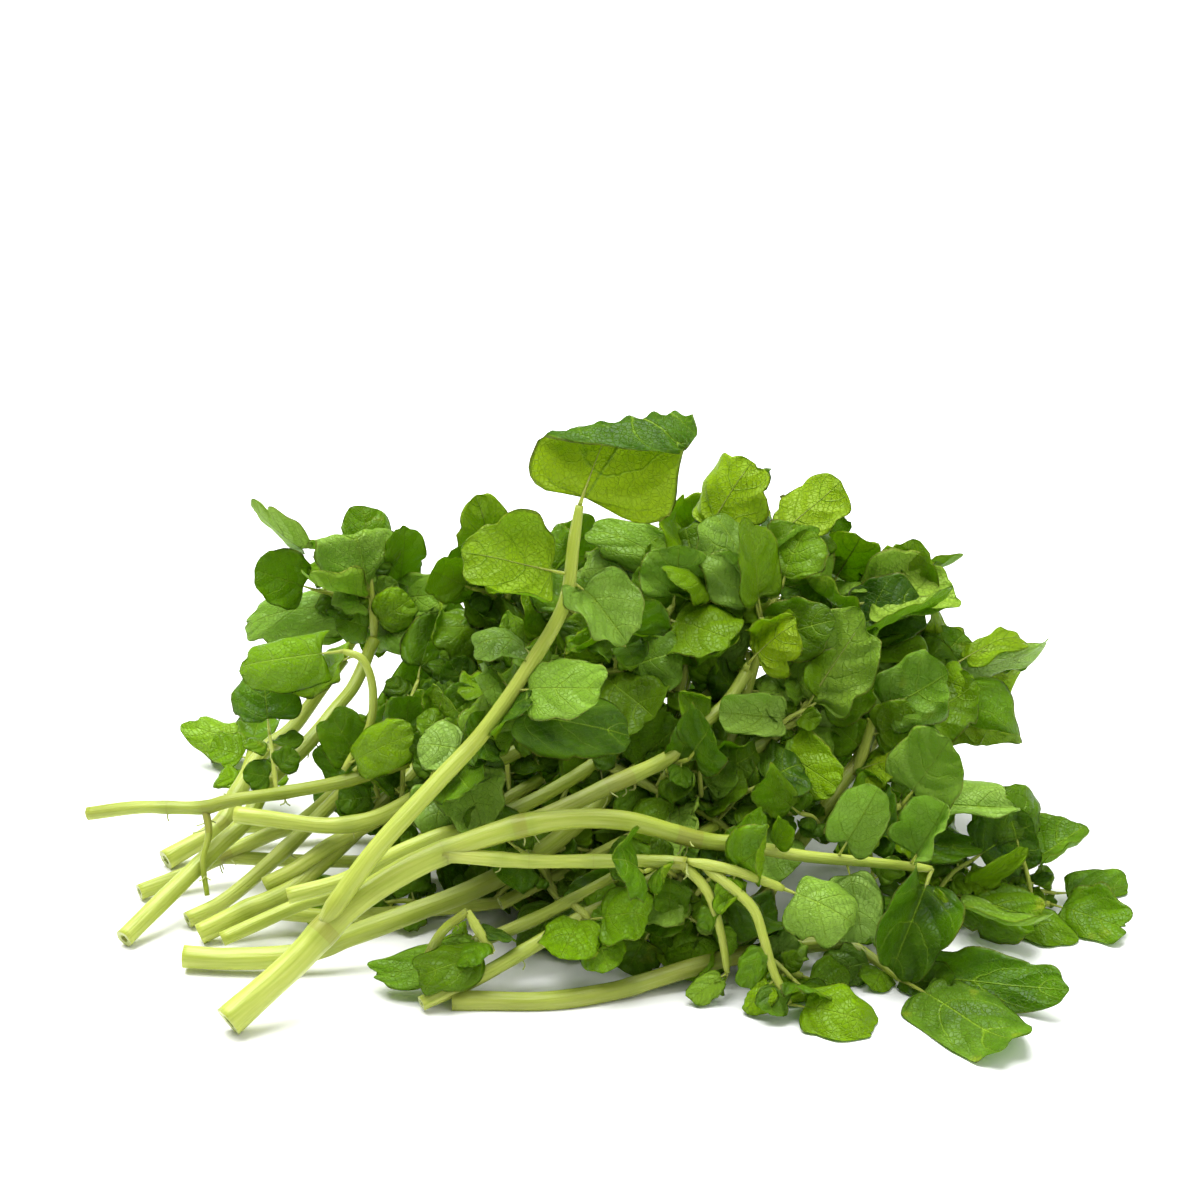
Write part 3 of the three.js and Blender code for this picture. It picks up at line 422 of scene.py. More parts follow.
    ], [2, 16, BACK]],
  ]},
  {"stem": [
    [1.6, 1.3, [[-40, 49, 2], [-18, 52, 5], [9, 52, 10], [35, 48, 17], [56, 42, 26]]],
  ], "leaves": [
    [[1.2, 0.8, [[56, 42, 26], [66, 42, 30], [76, 38, 32]]], [
      [1, [90, 38, 34], 17], [1, [82, 50, 24], 16, -20, -20, 20], [0.6, [68, 54, 26], 16],
      [0.6, [74, 30, 46], 14, -20, 10, 20], [0.3, [58, 56, 16], 14],
    ], [2, 16, BACK]],
    [[1.2, 0.8, [[35, 48, 17], [44, 52, 14], [52, 54, 10]]], [
      [1, [66, 58, 4], 14], [1, [52, 66, 3], 13], [0.5, [40, 64, 10], 13], [0.4, [36, 62, 22], 13],
    ], [2, 16, BACK]],
  ]},
]


# ---------------------------------------------------------------- routes


class Route:
    """A smooth line through points given in millimetres, with its length and a steady cross direction."""

    def __init__(self, points, cell):
        points = [Vector(p) * MM for p in points]
        line = [points[0]]
        for i in range(len(points) - 1):
            start, end = points[i], points[i + 1]
            gap = (end - start).length
            before = points[i - 1] if i else start - (end - start)
            after = points[i + 2] if i + 2 < len(points) else end + (end - start)
            leave = (end - before).normalized() * gap / 3
            arrive = (after - start).normalized() * gap / 3
            count = max(3, round(gap / cell))
            line += interpolate_bezier(start, start + leave, end - arrive, end, count + 1)[1:]
        self.line = line
        self.reach = [0.0]
        for a, b in zip(line, line[1:]):
            self.reach.append(self.reach[-1] + (b - a).length)
        self.length = self.reach[-1]
        self.across = steady_directions(line)

    def at(self, share):
        """The place at a share of the length, from 0 to 1."""
        goal = share * self.length
        for i in range(1, len(self.line)):
            if self.reach[i] >= goal - 1e-9:
                step = self.reach[i] - self.reach[i - 1]
                return self.line[i - 1].lerp(self.line[i], (goal - self.reach[i - 1]) / step)
        return self.line[-1].copy()

    def ahead(self, share):
        """The direction of the line at a share of the length."""
        return (self.at(min(1.0, share + 0.02)) - self.at(max(0.0, share - 0.02))).normalized()

    def nearest(self, place):
        """How far along the line, in metres, its nearest place to a given one lies."""
        i = min(range(len(self.line)), key=lambda k: (self.line[k] - place).length_squared)
        return self.reach[i]


def direction(line, i):
    return (line[min(i + 1, len(line) - 1)] - line[max(i - 1, 0)]).normalized()


def steady_directions(line):
    """A cross direction at each place of a line, turned only as much as the line turns."""
    ahead = direction(line, 0)
    across = ahead.orthogonal().normalized()
    found = []
    for i in range(len(line)):
        now = direction(line, i)
        across = (across - now * across.dot(now)).normalized()
        found.append(across)
    return found


# ---------------------------------------------------------------- sheets and tubes


def sheet(bm, rows, cols, place, tone, material, flip=False):
    """A grid whose corners (u, v), each from 0 to 1, are put at place(u, v); returns its vertices."""
    uv = bm.loops.layers.uv.verify()
    tones = bm.verts.layers.float_color["tone"]
    verts = bmesh.ops.create_grid(bm, x_segments=rows, y_segments=cols, size=0.5)["verts"]
    faces = list({face for vert in verts for face in vert.link_faces})
    for face in faces:
        face.material_index = material
        face.smooth = True
        for loop in face.loops:
            loop[uv].uv = (loop.vert.co.x + 0.5, loop.vert.co.y + 0.5)
    for vert in verts:
        u, v = vert.co.x + 0.5, vert.co.y + 0.5
        vert.co = place(u, v)
        vert[tones] = tone(u, v) if callable(tone) else tone
    if flip:
        bmesh.ops.reverse_faces(bm, faces=faces)
    return verts


def tube(bm, line, across, radius, tone, sides, material):
    """A closed round tube along a line. radius(k, angle) is its radius at the line's place k."""
    last = len(line) - 1

    def place(u, v):
        k = round(u * last)
        angle = 2 * math.pi * v
        ahead = direction(line, k)
        turned = Quaternion(ahead, angle) @ across[k]
        return line[k] + turned * radius(k, angle)

    verts = sheet(bm, last, sides, place, tone, material)
    bmesh.ops.remove_doubles(bm, verts=verts, dist=1e-7)
    verts = [vert for vert in verts if vert.is_valid]
    rim = [edge for edge in {edge for vert in verts for edge in vert.link_edges} if edge.is_boundary]
    return bmesh.ops.holes_fill(bm, edges=rim, sides=0)["faces"]


def new_mesh():
    bm = bmesh.new()
    bm.verts.layers.float_color.new("tone")
    bm.loops.layers.uv.new("UVMap")
    return bm


def finished_piece(bm, node, materials):
    """Turns a mesh in the making into the piece that stands for a node of the frame."""
    bmesh.ops.recalc_face_normals(bm, faces=bm.faces)
    mesh = bpy.data.meshes.new(node + "_grown")
    bm.to_mesh(mesh)
    bm.free()
    piece = bpy.data.objects.new(node + "_grown", mesh)
    bpy.context.scene.collection.objects.link(piece)
    for material in materials:
        mesh.materials.append(material)
    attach(piece, "root")
    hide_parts(node)
    return piece


# ---------------------------------------------------------------- leaflets


class Blade:
    """One leaflet: where each place of its flat outline lies once it is folded, cupped, bent and waved."""

    def __init__(self, base, tip, width, roll, cup, bend, facing, draw, known):
        self.base = base
        self.ahead = (tip - base).normalized()
        self.length = (tip - base).length
        self.half = width / 2
        up = Vector(facing)
        up = (up - self.ahead * up.dot(self.ahead)).normalized()
        up.rotate(Quaternion(self.ahead, math.radians(roll)))
        self.up = up
        self.side = self.ahead.cross(up)
        self.bend = math.radians(bend or 0.01)
        self.cup = math.radians(cup + draw.uniform(-25, 25))
        self.twist = math.radians(draw.uniform(-24, 24))
        self.lobes = [(draw.uniform(0.4, 1.0) * size, count, draw.uniform(0, 2 * math.pi))
                      for size, count in LOBES]
        self.notches = [(draw.uniform(-2.2, 2.2), draw.uniform(0.04, 0.13), draw.uniform(0.06, 0.2))
                        for _ in range(NOTCHES)]
        self.heart = draw.uniform(0.1, 0.26)
        self.egg = known.get("egg", draw.uniform(0.0, 0.16))
        self.waves = [(draw.uniform(1.3, 2.6), draw.random()) for _ in ORDER_OF_SIDES]
        self.ripple = draw.uniform(0.06, 0.17)
        self.rims = [draw.choice((-1, 1)) * draw.uniform(0.0, 1.0) ** 1.5 for _ in ORDER_OF_SIDES]
        self.tip_curl = draw.uniform(-1.2, 1.2)
        turned = self.random_fold(draw) if draw.random() < FOLDED_SHARE else None
        self.fold = known.get("fold", turned)
        self.start = known.get("start", STALKLET_SHARE)
        self.stretch = known.get("stretch", 1.0)
        self.lean = known.get("lean", 0.0)
        self.behind = known.get("behind", 0.0) * MM
        if "calm" in known:
            self.twist = 0.0
            self.tip_curl = 0.0
            self.rims = [0.0, 0.0]
            self.notches = []
            self.heart = CALM_HEART
            self.ripple = CALM_RIPPLE
            self.cup = math.radians(cup)

    @staticmethod
    def random_fold(draw):
        """A corner of the leaflet that is turned over: a place on the crease, its direction and its turn."""
        way = draw.uniform(-1.9, 1.9)
        far = draw.uniform(0.25, 0.6)
        turn = draw.choice((-1, 1)) * draw.uniform(50, 130)
        return (0.5 + 0.5 * far * math.cos(way), far * math.sin(way), math.degrees(way), turn)

    def margin(self, way):
        """How far out the margin lies in a direction from the middle, as a share of a plain oval's."""
        out = 1.0 - self.heart * math.exp(-(((math.pi - abs(way)) / 0.45) ** 2))
        for size, count, start in self.lobes:
            out += size * math.cos(count * way + start)
        for place, size, spread in self.notches:
            out -= size * math.exp(-(((way - place) / spread) ** 2))
        return out

    def flat(self, u, v):
        """The place on the flat outline: distance along and across, then shares of length and width."""
        share = (1 - math.cos(math.pi * u)) / 2
        across = 2 * v - 1
        ahead = 2 * share - 1
        aside = across * (1 - abs(ahead) ** OVAL) ** (1 / OVAL)
        out = 1 + (self.margin(math.atan2(aside, ahead)) - 1) * min(1.0, math.hypot(ahead, aside)) ** 2
        bare = self.start * self.length
        x = bare + (self.length - bare) * (0.5 + 0.5 * ahead * out) * self.stretch
        y = self.half * aside * out * (1 - self.egg * ahead) + self.lean * (x - bare)
        return x, y, share, across

    def fold_over(self, x, y, height):
        """Where a place lies once the part of the leaflet beyond the crease is turned over."""
        if not self.fold:
            return x, y, height
        start_x, start_y, way, turn = self.fold
        out_x, out_y = math.cos(math.radians(way)), math.sin(math.radians(way))
        beyond = (x - start_x * self.length) * out_x + (y - start_y * self.half) * out_y
        if beyond <= 0:
            return x, y, height
        whole = math.radians(abs(turn))
        sign = math.copysign(1, turn)
        angle = min(whole, beyond / CREASE_RADIUS)
        rest = beyond - angle * CREASE_RADIUS
        moved = CREASE_RADIUS * math.sin(angle) + rest * math.cos(angle) - sign * height * math.sin(angle)
        raised = CREASE_RADIUS * (1 - math.cos(angle)) + rest * math.sin(angle)
        step = moved - beyond
        return x + step * out_x, y + step * out_y, sign * raised + height * math.cos(angle)

    def lift(self, x, y, height):
        """The place in space of a flat place (x, y), above the leaflet's middle layer by a height."""
        share = x / (self.length * self.stretch)
        far = abs(y) / self.half
        x, y, height = self.fold_over(x, y, height)
        height += self.rims[y > 0] * self.half * RIM_CURL * max(0.0, far - 0.5) ** 2
        height += self.tip_curl * self.length * max(0.0, share - 0.6) ** 2
        turn = self.bend * (x / self.length - 0.5)
        chord = self.length / (2 * math.sin(self.bend / 2))
        normal = self.up * math.cos(turn) + self.ahead * math.sin(turn)
        twist = self.twist * (x / self.length - 0.3)
        side = self.side * math.cos(twist) + normal * math.sin(twist)
        normal = normal * math.cos(twist) - self.side * math.sin(twist)
        curl = self.half / self.cup
        sideways = curl * math.sin(y / curl)
        rise = curl * (1 - math.cos(y / curl))
        middle = self.base + self.ahead * (self.length / 2 + chord * math.sin(turn))
        middle += self.up * chord * (math.cos(turn) - math.cos(self.bend / 2))
        place = middle + side * sideways + normal * (rise + height)
        place.y += self.behind * min(1.0, 2.5 * share)
        place.z = max(place.z, LEAST_HEIGHT + 0.1 * (place.z - LEAST_HEIGHT))
        return place

    def place(self, u, v, face):
        x, y, share, across = self.flat(u, v)
        count, start = self.waves[across > 0]
        far = abs(y) / self.half
        ripple = self.ripple * self.half * far ** 2 * math.sin(2 * math.pi * (count * share + start))
        vein = (share * PUCKERS - abs(across) * 1.5) % 1
        pucker = PUCKER_HEIGHT * self.half * math.sin(math.pi * vein) * far * max(0.0, 1 - far) * 4
        thick = HALF_THICKNESS * math.sqrt(max(0.0, 1 - across ** 6)) * math.sin(math.pi * share) ** 0.3
        return self.lift(x, y, ripple + pucker + face * thick)

    def add(self, bm, tones):
        """Both sheets, each with its tone, welded at the margin, and the stalklet that runs on as midrib."""
        rows = min(MOST_CELLS, max(10, round(self.length / LEAF_CELL)))
        cols = min(MOST_CELLS, 2 * max(4, round(self.half / LEAF_CELL)))
        verts = []
        for material, face in enumerate(ORDER_OF_SIDES):
            verts += sheet(bm, rows, cols, lambda u, v: self.place(u, v, face), tones[material], material,
                           flip=face < 0)
        bmesh.ops.remove_doubles(bm, verts=verts, dist=1e-7)
        line = []
        for k in range(RIB_STEPS + 1):
            x = RIB_REACH * self.length * k / RIB_STEPS
            sunk = -0.35 * LEAST_RIB * min(1.0, x / (STALKLET_SHARE * self.length))
            line.append(self.lift(x, 0.0, sunk))
        foot = min(MOST_RIB, max(LEAST_RIB, RIB_SHARE * self.half))

        def radius(k, angle):
            return foot * (0.14 + 0.86 * (1 - k / RIB_STEPS) ** 3)

        tube(bm, line, steady_directions(line), radius, STALK_TONE, RIB_SIDES, STEM_SKIN)


def leaf_tone(draw):
    """Lightness, yellowness, painted sheen and wear of one leaflet."""
    return (draw.random(), draw.random(), draw.random(), draw.random())


def paired_leaflets(stalk, pairs, size, facing):
    """Plain side leaflets in pairs along a stalk, each a little different in length, lean and curl."""
    rows = []
    up = Vector(facing)
    seed = (stalk.line[0].x + 2 * stalk.line[0].z) / MM
    for k in range(pairs):
        for hand in ORDER_OF_SIDES:
            sway = math.sin(seed + 3.1 * k + 1.7 * hand)
            lean = math.sin(2 * seed + 2.3 * k + 4.9 * hand)
            along = (k + 0.7 + 0.15 * hand) / (pairs + 0.3)
            ahead = stalk.ahead(along)
            out = ahead.cross(up).normalized() * hand
            out = (out + ahead * 0.5 + up * 0.45 * lean).normalized()
            length = size * (0.85 + 0.2 * sway)
            tip = stalk.at(along) / MM + out * length
            tip.z = max(tip.z, LOWEST_TIP)
            rows.append([along, tip, length, 35 * lean, -10 + 30 * sway, 25 * lean])
    return rows


def add_stalk(bm, stalk, first, last):
    """A thin leaf stalk, slightly three-sided, paler at its foot."""
    count = len(stalk.line) - 1

    def radius(k, angle):
        share = k / count
        slimming = 1 - 0.3 * max(0.0, (share - 0.94) / 0.06)
        rooted = min(1.0, 0.55 + 0.45 * stalk.reach[k] / ROOTED)
        return MM * (first + (last - first) * share) * slimming * rooted * (1 + 0.06 * math.cos(3 * angle))

    tube(bm, stalk.line, stalk.across, radius,
         lambda u, v: (0.25 + 0.5 * u, *STALK_TONE[1:]), STALK_SIDES, STEM_SKIN)


def add_side_shoot(bm, stalk, share, facing, draw):
    """A young leaf that leaves a leaf stalk: a thin stalk with an end leaflet and pairs of side leaflets."""
    start = stalk.at(share) / MM
    lean = Vector((draw.uniform(-0.7, 1), draw.uniform(-0.3, 1), draw.uniform(-0.4, 0.9))).normalized()
    way = (stalk.ahead(share) * 0.5 + lean).normalized()
    length = draw.uniform(*YOUNG_STALK)
    end = start + way * length
    end.y = min(end.y, BACK_EDGE)
    end.z = max(end.z, LOWEST_SHOOT)
    middle = (start + end) / 2 + Vector((0, 0, 0.12 * length))
    young = Route([start, middle, end], STEM_CELL)
    add_stalk(bm, young, 0.6, 0.45)
    tip = end + (way + Vector((0, 0, draw.uniform(-0.3, 0.3)))).normalized() * draw.uniform(*YOUNG_REACH)
    tip.y = min(tip.y, BACK_EDGE)
    tip.z = max(tip.z, LOWEST_TIP)
    rows = [[1, tip, draw.uniform(*YOUNG_WIDTH)] + [draw.uniform(-most, most) for most in (50, 50, 40)]]
    for along, *rest in rows + paired_leaflets(young, 2, draw.uniform(*YOUNG_SIDE_LEAFLET), facing):
        lightness, yellowness, painted_sheen, wear = leaf_tone(draw)
        # painted shade: young leaves are made darker, less yellow and less sheeny, standing in for the shade
        # inside the bunch
        painted_shade_tone = {"tone": (0.5 * lightness, 0.6 * yellowness, 0.6 * painted_sheen, wear)}
        add_leaflet(bm, young, along, rest, facing, draw, painted_shade_tone)


def add_leaflet(bm, stalk, along, row, facing, draw, known=PLAIN):
    tip, width, *turns = row
    roll, cup, bend = turns or USUAL_TURNS
    blade = Blade(stalk.at(along), Vector(tip) * MM, width * MM, roll, cup, bend, facing, draw, known)
    tone = known.get("tone", leaf_tone(draw))
    blade.add(bm, (tone, known.get("under", tone)))


def make_leaf(node, leaf, materials):
    (first, last, points), leaflets, (pairs, size, *faced) = leaf
    facing = faced[0] if faced else FRONT
    bm = new_mesh()
    draw = random.Random(node)
    stalk = Route(points, STEM_CELL)
    add_stalk(bm, stalk, first, last)
    for number, (along, *row) in enumerate(leaflets):
        add_leaflet(bm, stalk, along, row, facing, draw, KNOWN.get((node, number), PLAIN))
    for along, *row in paired_leaflets(stalk, pairs, size, facing):
        add_leaflet(bm, stalk, along, row, facing, draw)
    deep = pairs and points[0][1] > FRONT_EDGE and points[0][0] < RIGHT_EDGE
    shoots = DENSE.get(node, SHOOTS if deep else 0)
    for k in range(shoots):
        add_side_shoot(bm, stalk, (k + 0.5) / shoots, facing, draw)
    return finished_piece(bm, node, materials)


# ---------------------------------------------------------------- stems


def make_stem(node, axes, leaf_starts, materials):
    """One stem and its forks: ribbed, swollen where leaves and forks leave it, with cut ends."""
    bm = new_mesh()
    draw = random.Random(node)
    forks = [Vector(points[0]) * MM for _, _, points in axes[1:]]
    shade = draw.random()
    for number, (first, last, points) in enumerate(axes):
        route = Route(points, STEM_CELL)
        knots = [route.nearest(place) for place in leaf_starts + forks]
        knots += [route.length * share for share in (draw.uniform(0.2, 0.35), draw.uniform(0.55, 0.75))]
        turn = draw.uniform(0, 2 * math.pi)
        wobble = draw.random()
        length = route.length

        def swell(reach):
            return sum(math.exp(-(((reach - knot) / KNOT_REACH) ** 2)) for knot in knots)

        def radius(k, angle):
            reach = route.reach[k]
            plain = first + (last - first) * reach / length
            ribs = 1 + 0.04 * math.cos(5 * angle + turn) + 0.018 * math.sin(11 * angle)
            lumps = 1 + 0.03 * math.sin(2 * math.pi * (reach / LUMP_LENGTH + wobble))
            return MM * plain * ribs * lumps * (1 + KNOT_SWELL * min(1.0, swell(reach)))

        def tone(u, v):
            return (u, min(1.0, swell(u * length)), shade, 1.0)

        for cap in tube(bm, route.line, route.across, radius, tone, STEM_SIDES, STEM_SKIN):
            middle = cap.calc_center_median()
            is_first = (middle - route.line[0]).length < (middle - route.line[-1]).length
            inside = route.line[1] if is_first else route.line[-2]
            inward = -1 if cap.normal.dot(middle - inside) > 0 else 1
            cut_end(bm, cap, MM * (first if is_first else last), inward)
        count, lowest, highest = YOUNG.get((node, number), (0, 0, 0))
        for k in range(count):
            add_side_shoot(bm, route, lowest + (highest - lowest) * (k + 0.5) / count, FRONT, draw)
        for knot in knots:
            add_root_tips(bm, route, knot, MM * (first + last) / 2, draw)
    return finished_piece(bm, node, materials)


def add_root_tips(bm, route, knot, thick, draw):
    """A few short pale roots that break out of a stem at a joint, on its lower side."""
    share = knot / route.length
    for _ in range(draw.choice((0, 0, 1, 2))):
        start = route.at(share)
        out = route.ahead(share).cross(Vector((draw.uniform(-1, 1), draw.uniform(-1, 1), 0.2))).normalized()
        out.z = -abs(out.z) if start.z > 3 * thick else abs(out.z)
        bowed = start + out * (thick + 0.8 * MM) + Vector((0.3 * MM, 0, 0))
        end = start + out * (thick + draw.uniform(1.2, 2.6) * MM) + Vector((draw.uniform(-1, 1) * MM, 0, 0))
        root = Route([start / MM, bowed / MM, end / MM], ROOT_CELL)
        tube(bm, root.line, root.across, lambda k, angle: ROOT_RADIUS, STALK_TONE, ROOT_SIDES, CUT_FACE)


def cut_end(bm, cap, size, inward):
    """A cut across a stem: a flat rim, a shallow dish and a small hollow in the middle."""
    cap.material_index = CUT_FACE
    cap.smooth = False
    for share, deep in CUT_RINGS:
        bmesh.ops.inset_region(bm, faces=[cap], thickness=share * size, depth=inward * deep * size)


# ---------------------------------------------------------------- materials


class Value:
    """A shader socket that can stand in a sum."""

    def __init__(self, paint, socket):
        self.paint = paint
        self.socket = socket

    def math(self, operation, *terms):
        return self.paint.node("ShaderNodeMath", {"operation": operation}, dict(enumerate(terms)))

    def __add__(self, other):
        return self.math("ADD", self, other)

    def __sub__(self, other):
        return self.math("SUBTRACT", self, other)

    def __rsub__(self, other):
        return self.math("SUBTRACT", other, self)

    def __mul__(self, other):
        return self.math("MULTIPLY", self, other)

    def __pow__(self, power):
        return self.math("POWER", self, power)

    def __abs__(self):
        return self.math("ABSOLUTE", self)

    def wrapped(self):
        """The part after the whole number."""
        return self.math("FRACT", self)

    def clamped(self):
        return self.math("MAXIMUM", self.math("MINIMUM", self, 1.0), 0.0)

    def line(self, width):
        """1 where the value is 0, falling smoothly to 0 at a distance of width."""
        return self.paint.node("ShaderNodeMapRange", {"interpolation_type": "SMOOTHSTEP"},
                               {"Value": abs(self), "From Min": width, "From Max": 0.0})


class Paint:
    """A new material and the nodes in it."""

    def __init__(self, name):
        self.material = bpy.data.materials.new(name)
        self.material.use_nodes = True
        self.tree = self.material.node_tree
        self.tree.nodes.clear()

    def node(self, kind, settings, sockets, output=0):
        """A node of a kind with its settings and the values or links of its sockets; returns one output."""
        made = self.tree.nodes.new(kind)
        for name, value in settings.items():
            setattr(made, name, value)
        for name, value in sockets.items():
            if isinstance(value, Value):
                self.tree.links.new(value.socket, made.inputs[name])
            else:
                made.inputs[name].default_value = value
        return Value(self, made.outputs[output])

    def mix(self, factor, first, second):
        """first where the factor is 0 and second where it is 1; both are colours."""
        return self.node("ShaderNodeMix", {"data_type": "RGBA"}, {0: factor, 6: first, 7: second}, 2)

    def place(self):
        return self.node("ShaderNodeTexCoord", {}, {}, "Object")

    def noise(self, scale, detail=2.0, place=None):
        return self.node("ShaderNodeTexNoise", {},
                         {"Vector": place or self.place(), "Scale": scale, "Detail": detail})

    def cells(self, scale):
        """Distance to the nearest border of a net of cells."""
        return self.node("ShaderNodeTexVoronoi", {"feature": "DISTANCE_TO_EDGE"},
                         {"Vector": self.place(), "Scale": scale})

    def along_and_across(self):
        """The piece's own two coordinates: along it, and across or round it."""
        uv = self.node("ShaderNodeUVMap", {"uv_map": "UVMap"}, {})
        split = self.node("ShaderNodeSeparateXYZ", {}, {0: uv})
        return split, Value(self, split.socket.node.outputs[1])

    def tone(self):
        """The four numbers carried by the piece's vertices."""
        carried = self.node("ShaderNodeAttribute", {"attribute_name": "tone"}, {}, "Color")
        split = self.node("ShaderNodeSeparateColor", {}, {0: carried})
        sockets = list(split.socket.node.outputs[:3]) + [carried.socket.node.outputs["Alpha"]]
        return [Value(self, socket) for socket in sockets]

    def bump(self, height, distance, strength):
        return self.node("ShaderNodeBump", {},
                         {"Height": height, "Distance": distance, "Strength": strength})

    def output(self, shader):
        surface = self.tree.nodes.new("ShaderNodeOutputMaterial").inputs["Surface"]
        self.tree.links.new(shader.socket, surface)
        return self.material


def rgb(red, green, blue):
    return (red, green, blue, 1.0)


def leaf_material(name, dark, light, yellow, painted_sheen, vein, through, share_through, roughness, upper):
    """Thin leaf: a veined, slightly puckered skin that also lets light through."""
    paint = Paint(name)
    along, around = paint.along_and_across()
    across = abs(around * 2.0 - 1.0)
    lightness, yellowness, painted_sheen_amount, wear = paint.tone()
    wander = paint.noise(260.0, 2.0)
    reach = along * 3.6 - across ** 1.5 * 1.2 + wander * 0.3 + lightness * 3.0
    lateral = (reach.wrapped() - 0.5).line(0.045) * (1.0 - across ** 3.0)
    between = reach.wrapped() * (1.0 - reach.wrapped()) * 4.0
    second = ((along * 11.0 + across * 5.0 + wander * 1.6).wrapped() - 0.5).line(0.1) * (1.0 - across ** 4.0)
    midrib = across.line(0.035)
    net = paint.cells(1000.0).line(0.1)
    clouds = paint.noise(55.0, 2.0)
    patches = paint.noise(170.0, 4.0)
    fine = paint.noise(1700.0, 3.0)
    depth = lightness * 0.9 + (patches - 0.5) * 0.8 + (clouds - 0.5) * 0.7 + between * 0.12
    color = paint.mix(depth.clamped(), dark, light)
    color = paint.mix((yellowness ** 1.6 * 0.9).clamped(), color, yellow)
    # painted sheen: a pale bluish colour mixed in by the third tone number, standing in for reflected light
    color = paint.mix((painted_sheen_amount ** 3.0 * (clouds + patches) * 0.95 - 0.1).clamped(), color, painted_sheen)
    marks = lateral * 0.55 + midrib * 0.7 + net * 0.22 + second * 0.16
    color = paint.mix(marks.clamped(), color, vein)
    rim = ((across - 0.955) * 22.0).clamped()
    color = paint.mix(rim * (patches * 1.3 - 0.1).clamped(), color, rgb(0.30, 0.19, 0.04))
    spots = ((patches - 0.62) * 9.0).clamped() * ((wear - 0.55) * 1.6).clamped()
    color = paint.mix(spots, color, rgb(0.34, 0.36, 0.02))
    relief = lateral * 0.5 + midrib * 0.6 + net * 0.35 + second * 0.3 - between * 1.1
    height = fine * 0.15 + patches * 0.9 + (relief * (-1.0 if upper else 1.0))
    skin = paint.node("ShaderNodeBsdfPrincipled", {}, {
        "Base Color": color,
        "Roughness": (fine * 0.1 + patches * 0.2 + (roughness - 0.15)).clamped(),
        "Specular IOR Level": 0.22,
        "Normal": paint.bump(height, 0.00045, 0.9),
    })
    glow = paint.node("ShaderNodeBsdfTranslucent", {}, {"Color": through})
    factor = (share_through - midrib * 0.2 - lateral * 0.1 - net * 0.05).clamped()
    return paint.output(paint.node("ShaderNodeMixShader", {}, {0: factor, 1: skin, 2: glow}))


def stem_material():
    """Smooth, juicy, pale yellow-green skin with fine ribs, greener towards the top and at the joints."""
    paint = Paint("stem_skin")
    along, around = paint.along_and_across()
    share, joint, shade, _ = paint.tone()
    place = paint.node("ShaderNodeCombineXYZ", {}, {0: along * 9.0, 1: around * 26.0, 2: shade * 30.0})
    streaks = paint.noise(1.0, 3.0, place)
    patches = paint.noise(70.0, 3.0)
    fine = paint.noise(900.0, 2.0)
    pale, mid, deep = rgb(0.46, 0.52, 0.10), rgb(0.25, 0.33, 0.018), rgb(0.10, 0.17, 0.006)
    green_up = (share * 0.7 + shade * 0.6 + patches * 0.7 - 0.62).clamped()
    color = paint.mix(green_up, pale, mid)
    dull = ((shade - 0.7) * 1.6 + (patches - 0.5) * 0.6).clamped()
    color = paint.mix(dull, color, rgb(0.20, 0.20, 0.035))
    color = paint.mix(((streaks - 0.42) * 3.0).clamped() * 0.6, color, mid)
    color = paint.mix(((0.42 - streaks) * 3.0).clamped() * 0.5, color, rgb(0.58, 0.62, 0.20))
    color = paint.mix((joint * 0.25).clamped(), color, deep)
    scar = ((joint - 0.96) * 20.0).clamped() * (patches * 0.7).clamped()
    color = paint.mix(scar, color, rgb(0.22, 0.17, 0.03))
    color = paint.mix(((patches - 0.6) * 3.0).clamped() * 0.6, color, rgb(0.24, 0.24, 0.035))
    height = streaks * 1.4 + fine * 0.08
    skin = paint.node("ShaderNodeBsdfPrincipled", {}, {
        "Base Color": color,
        "Roughness": (streaks * 0.2 + 0.24).clamped(),
        "Specular IOR Level": 0.32,
        "Subsurface Weight": 0.25,
        "Subsurface Radius": (0.004, 0.005, 0.0015),
        "Subsurface Scale": 1.0,
        "Normal": paint.bump(height, 0.00025, 0.6),
    })
    return paint.output(skin)


def cut_material():
    """The wet, pale face of a cut stem, with drier brown patches."""
    paint = Paint("stem_cut_face")
    patches = paint.noise(900.0, 3.0)
    color = paint.mix(patches, rgb(0.46, 0.52, 0.16), rgb(0.30, 0.37, 0.07))
    color = paint.mix((patches - 0.55).clamped() * 2.5, color, rgb(0.30, 0.20, 0.06))
    skin = paint.node("ShaderNodeBsdfPrincipled", {}, {
        "Base Color": color, "Roughness": 0.35, "Normal": paint.bump(patches, 0.0004, 0.8)})
    return paint.output(skin)


def plain_material(name, color, roughness):
    paint = Paint(name)
    speckle = paint.noise(300.0, 2.0)
    shade = paint.mix(speckle * 0.1, color, rgb(*[0.9 * part for part in color[:3]]))
    skin = paint.node("ShaderNodeBsdfPrincipled", {}, {"Base Color": shade, "Roughness": roughness})
    return paint.output(skin)


# ---------------------------------------------------------------- the stage


def add_sun(name, source, strength, spread):
    """Even light over the whole floor, from a broad source that lies in a direction."""
    lamp = bpy.data.lights.new(name, "SUN")
    lamp.energy = strength
    lamp.angle = math.radians(spread)
    holder = bpy.data.objects.new(name, lamp)
    holder.rotation_euler = (-Vector(source)).to_track_quat("-Z", "Y").to_euler()
    bpy.context.scene.collection.objects.link(holder)


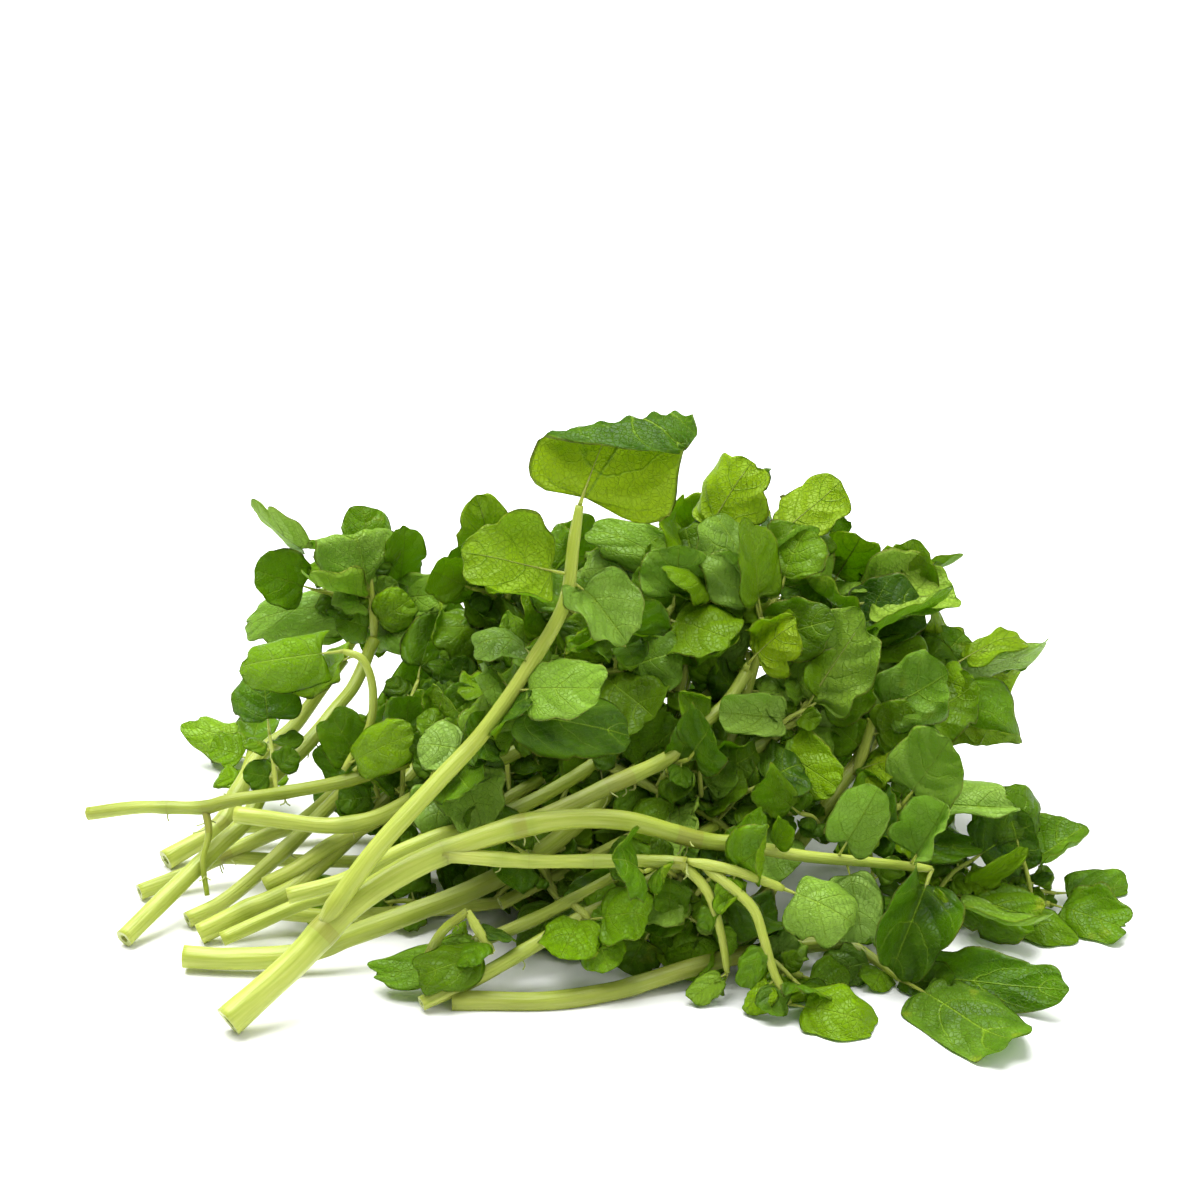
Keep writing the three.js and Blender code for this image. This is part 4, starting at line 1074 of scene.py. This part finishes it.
def set_stage():
    scene = bpy.context.scene
    scene.view_settings.view_transform = "Standard"
    lens = bpy.data.cameras.new("camera")
    lens.lens = LENS
    lens.sensor_width = SENSOR
    camera = bpy.data.objects.new("camera", lens)
    back = Vector((0, -math.cos(VIEW_ELEVATION), math.sin(VIEW_ELEVATION)))
    camera.location = VIEW_TARGET + back * VIEW_DISTANCE
    camera.rotation_euler = (-back).to_track_quat("-Z", "Y").to_euler()
    scene.collection.objects.link(camera)
    scene.camera = camera

    world = bpy.data.worlds.new("studio")
    world.use_nodes = True
    world.node_tree.nodes["Background"].inputs["Color"].default_value = (1, 1, 1, 1)
    world.node_tree.nodes["Background"].inputs["Strength"].default_value = WORLD_LIGHT
    scene.world = world

    bm = bmesh.new()
    bmesh.ops.create_grid(bm, x_segments=1, y_segments=1, size=6.0)
    mesh = bpy.data.meshes.new("floor")
    bm.to_mesh(mesh)
    bm.free()
    floor = bpy.data.objects.new("floor", mesh)
    mesh.materials.append(plain_material("floor_white", rgb(0.97, 0.97, 0.97), 0.8))
    scene.collection.objects.link(floor)

    for sun in SUNS:
        add_sun(*sun)


# ---------------------------------------------------------------- the bunch


def make_bunch():
    # The pale bluish third colour given for each side is painted sheen, standing in for reflected light.
    upper = leaf_material(
        "leaf_upper", dark=rgb(0.010, 0.045, 0.0002), light=rgb(0.17, 0.36, 0.002),
        yellow=rgb(0.29, 0.50, 0.001), painted_sheen=rgb(0.36, 0.56, 0.10), vein=rgb(0.26, 0.44, 0.02),
        through=rgb(0.44, 0.76, 0.001), share_through=0.32, roughness=0.36, upper=True)
    under = leaf_material(
        "leaf_under", dark=rgb(0.065, 0.155, 0.001), light=rgb(0.30, 0.49, 0.006),
        yellow=rgb(0.38, 0.55, 0.002), painted_sheen=rgb(0.40, 0.58, 0.11), vein=rgb(0.12, 0.24, 0.002),
        through=rgb(0.46, 0.76, 0.001), share_through=0.36, roughness=0.43, upper=False)
    materials = [upper, under, stem_material(), cut_material()]
    for i, sprig in enumerate(SPRIGS):
        starts = [Vector(leaf[0][2][0]) * MM for leaf in sprig["leaves"]]
        make_stem(f"stem_{i + 1}", sprig["stem"], starts, materials)
        for k, leaf in enumerate(sprig["leaves"]):
            make_leaf(f"leaf_{i + 1}_{k + 1}", leaf, materials)


set_stage()
make_bunch()

bpy.context.view_layer.update()
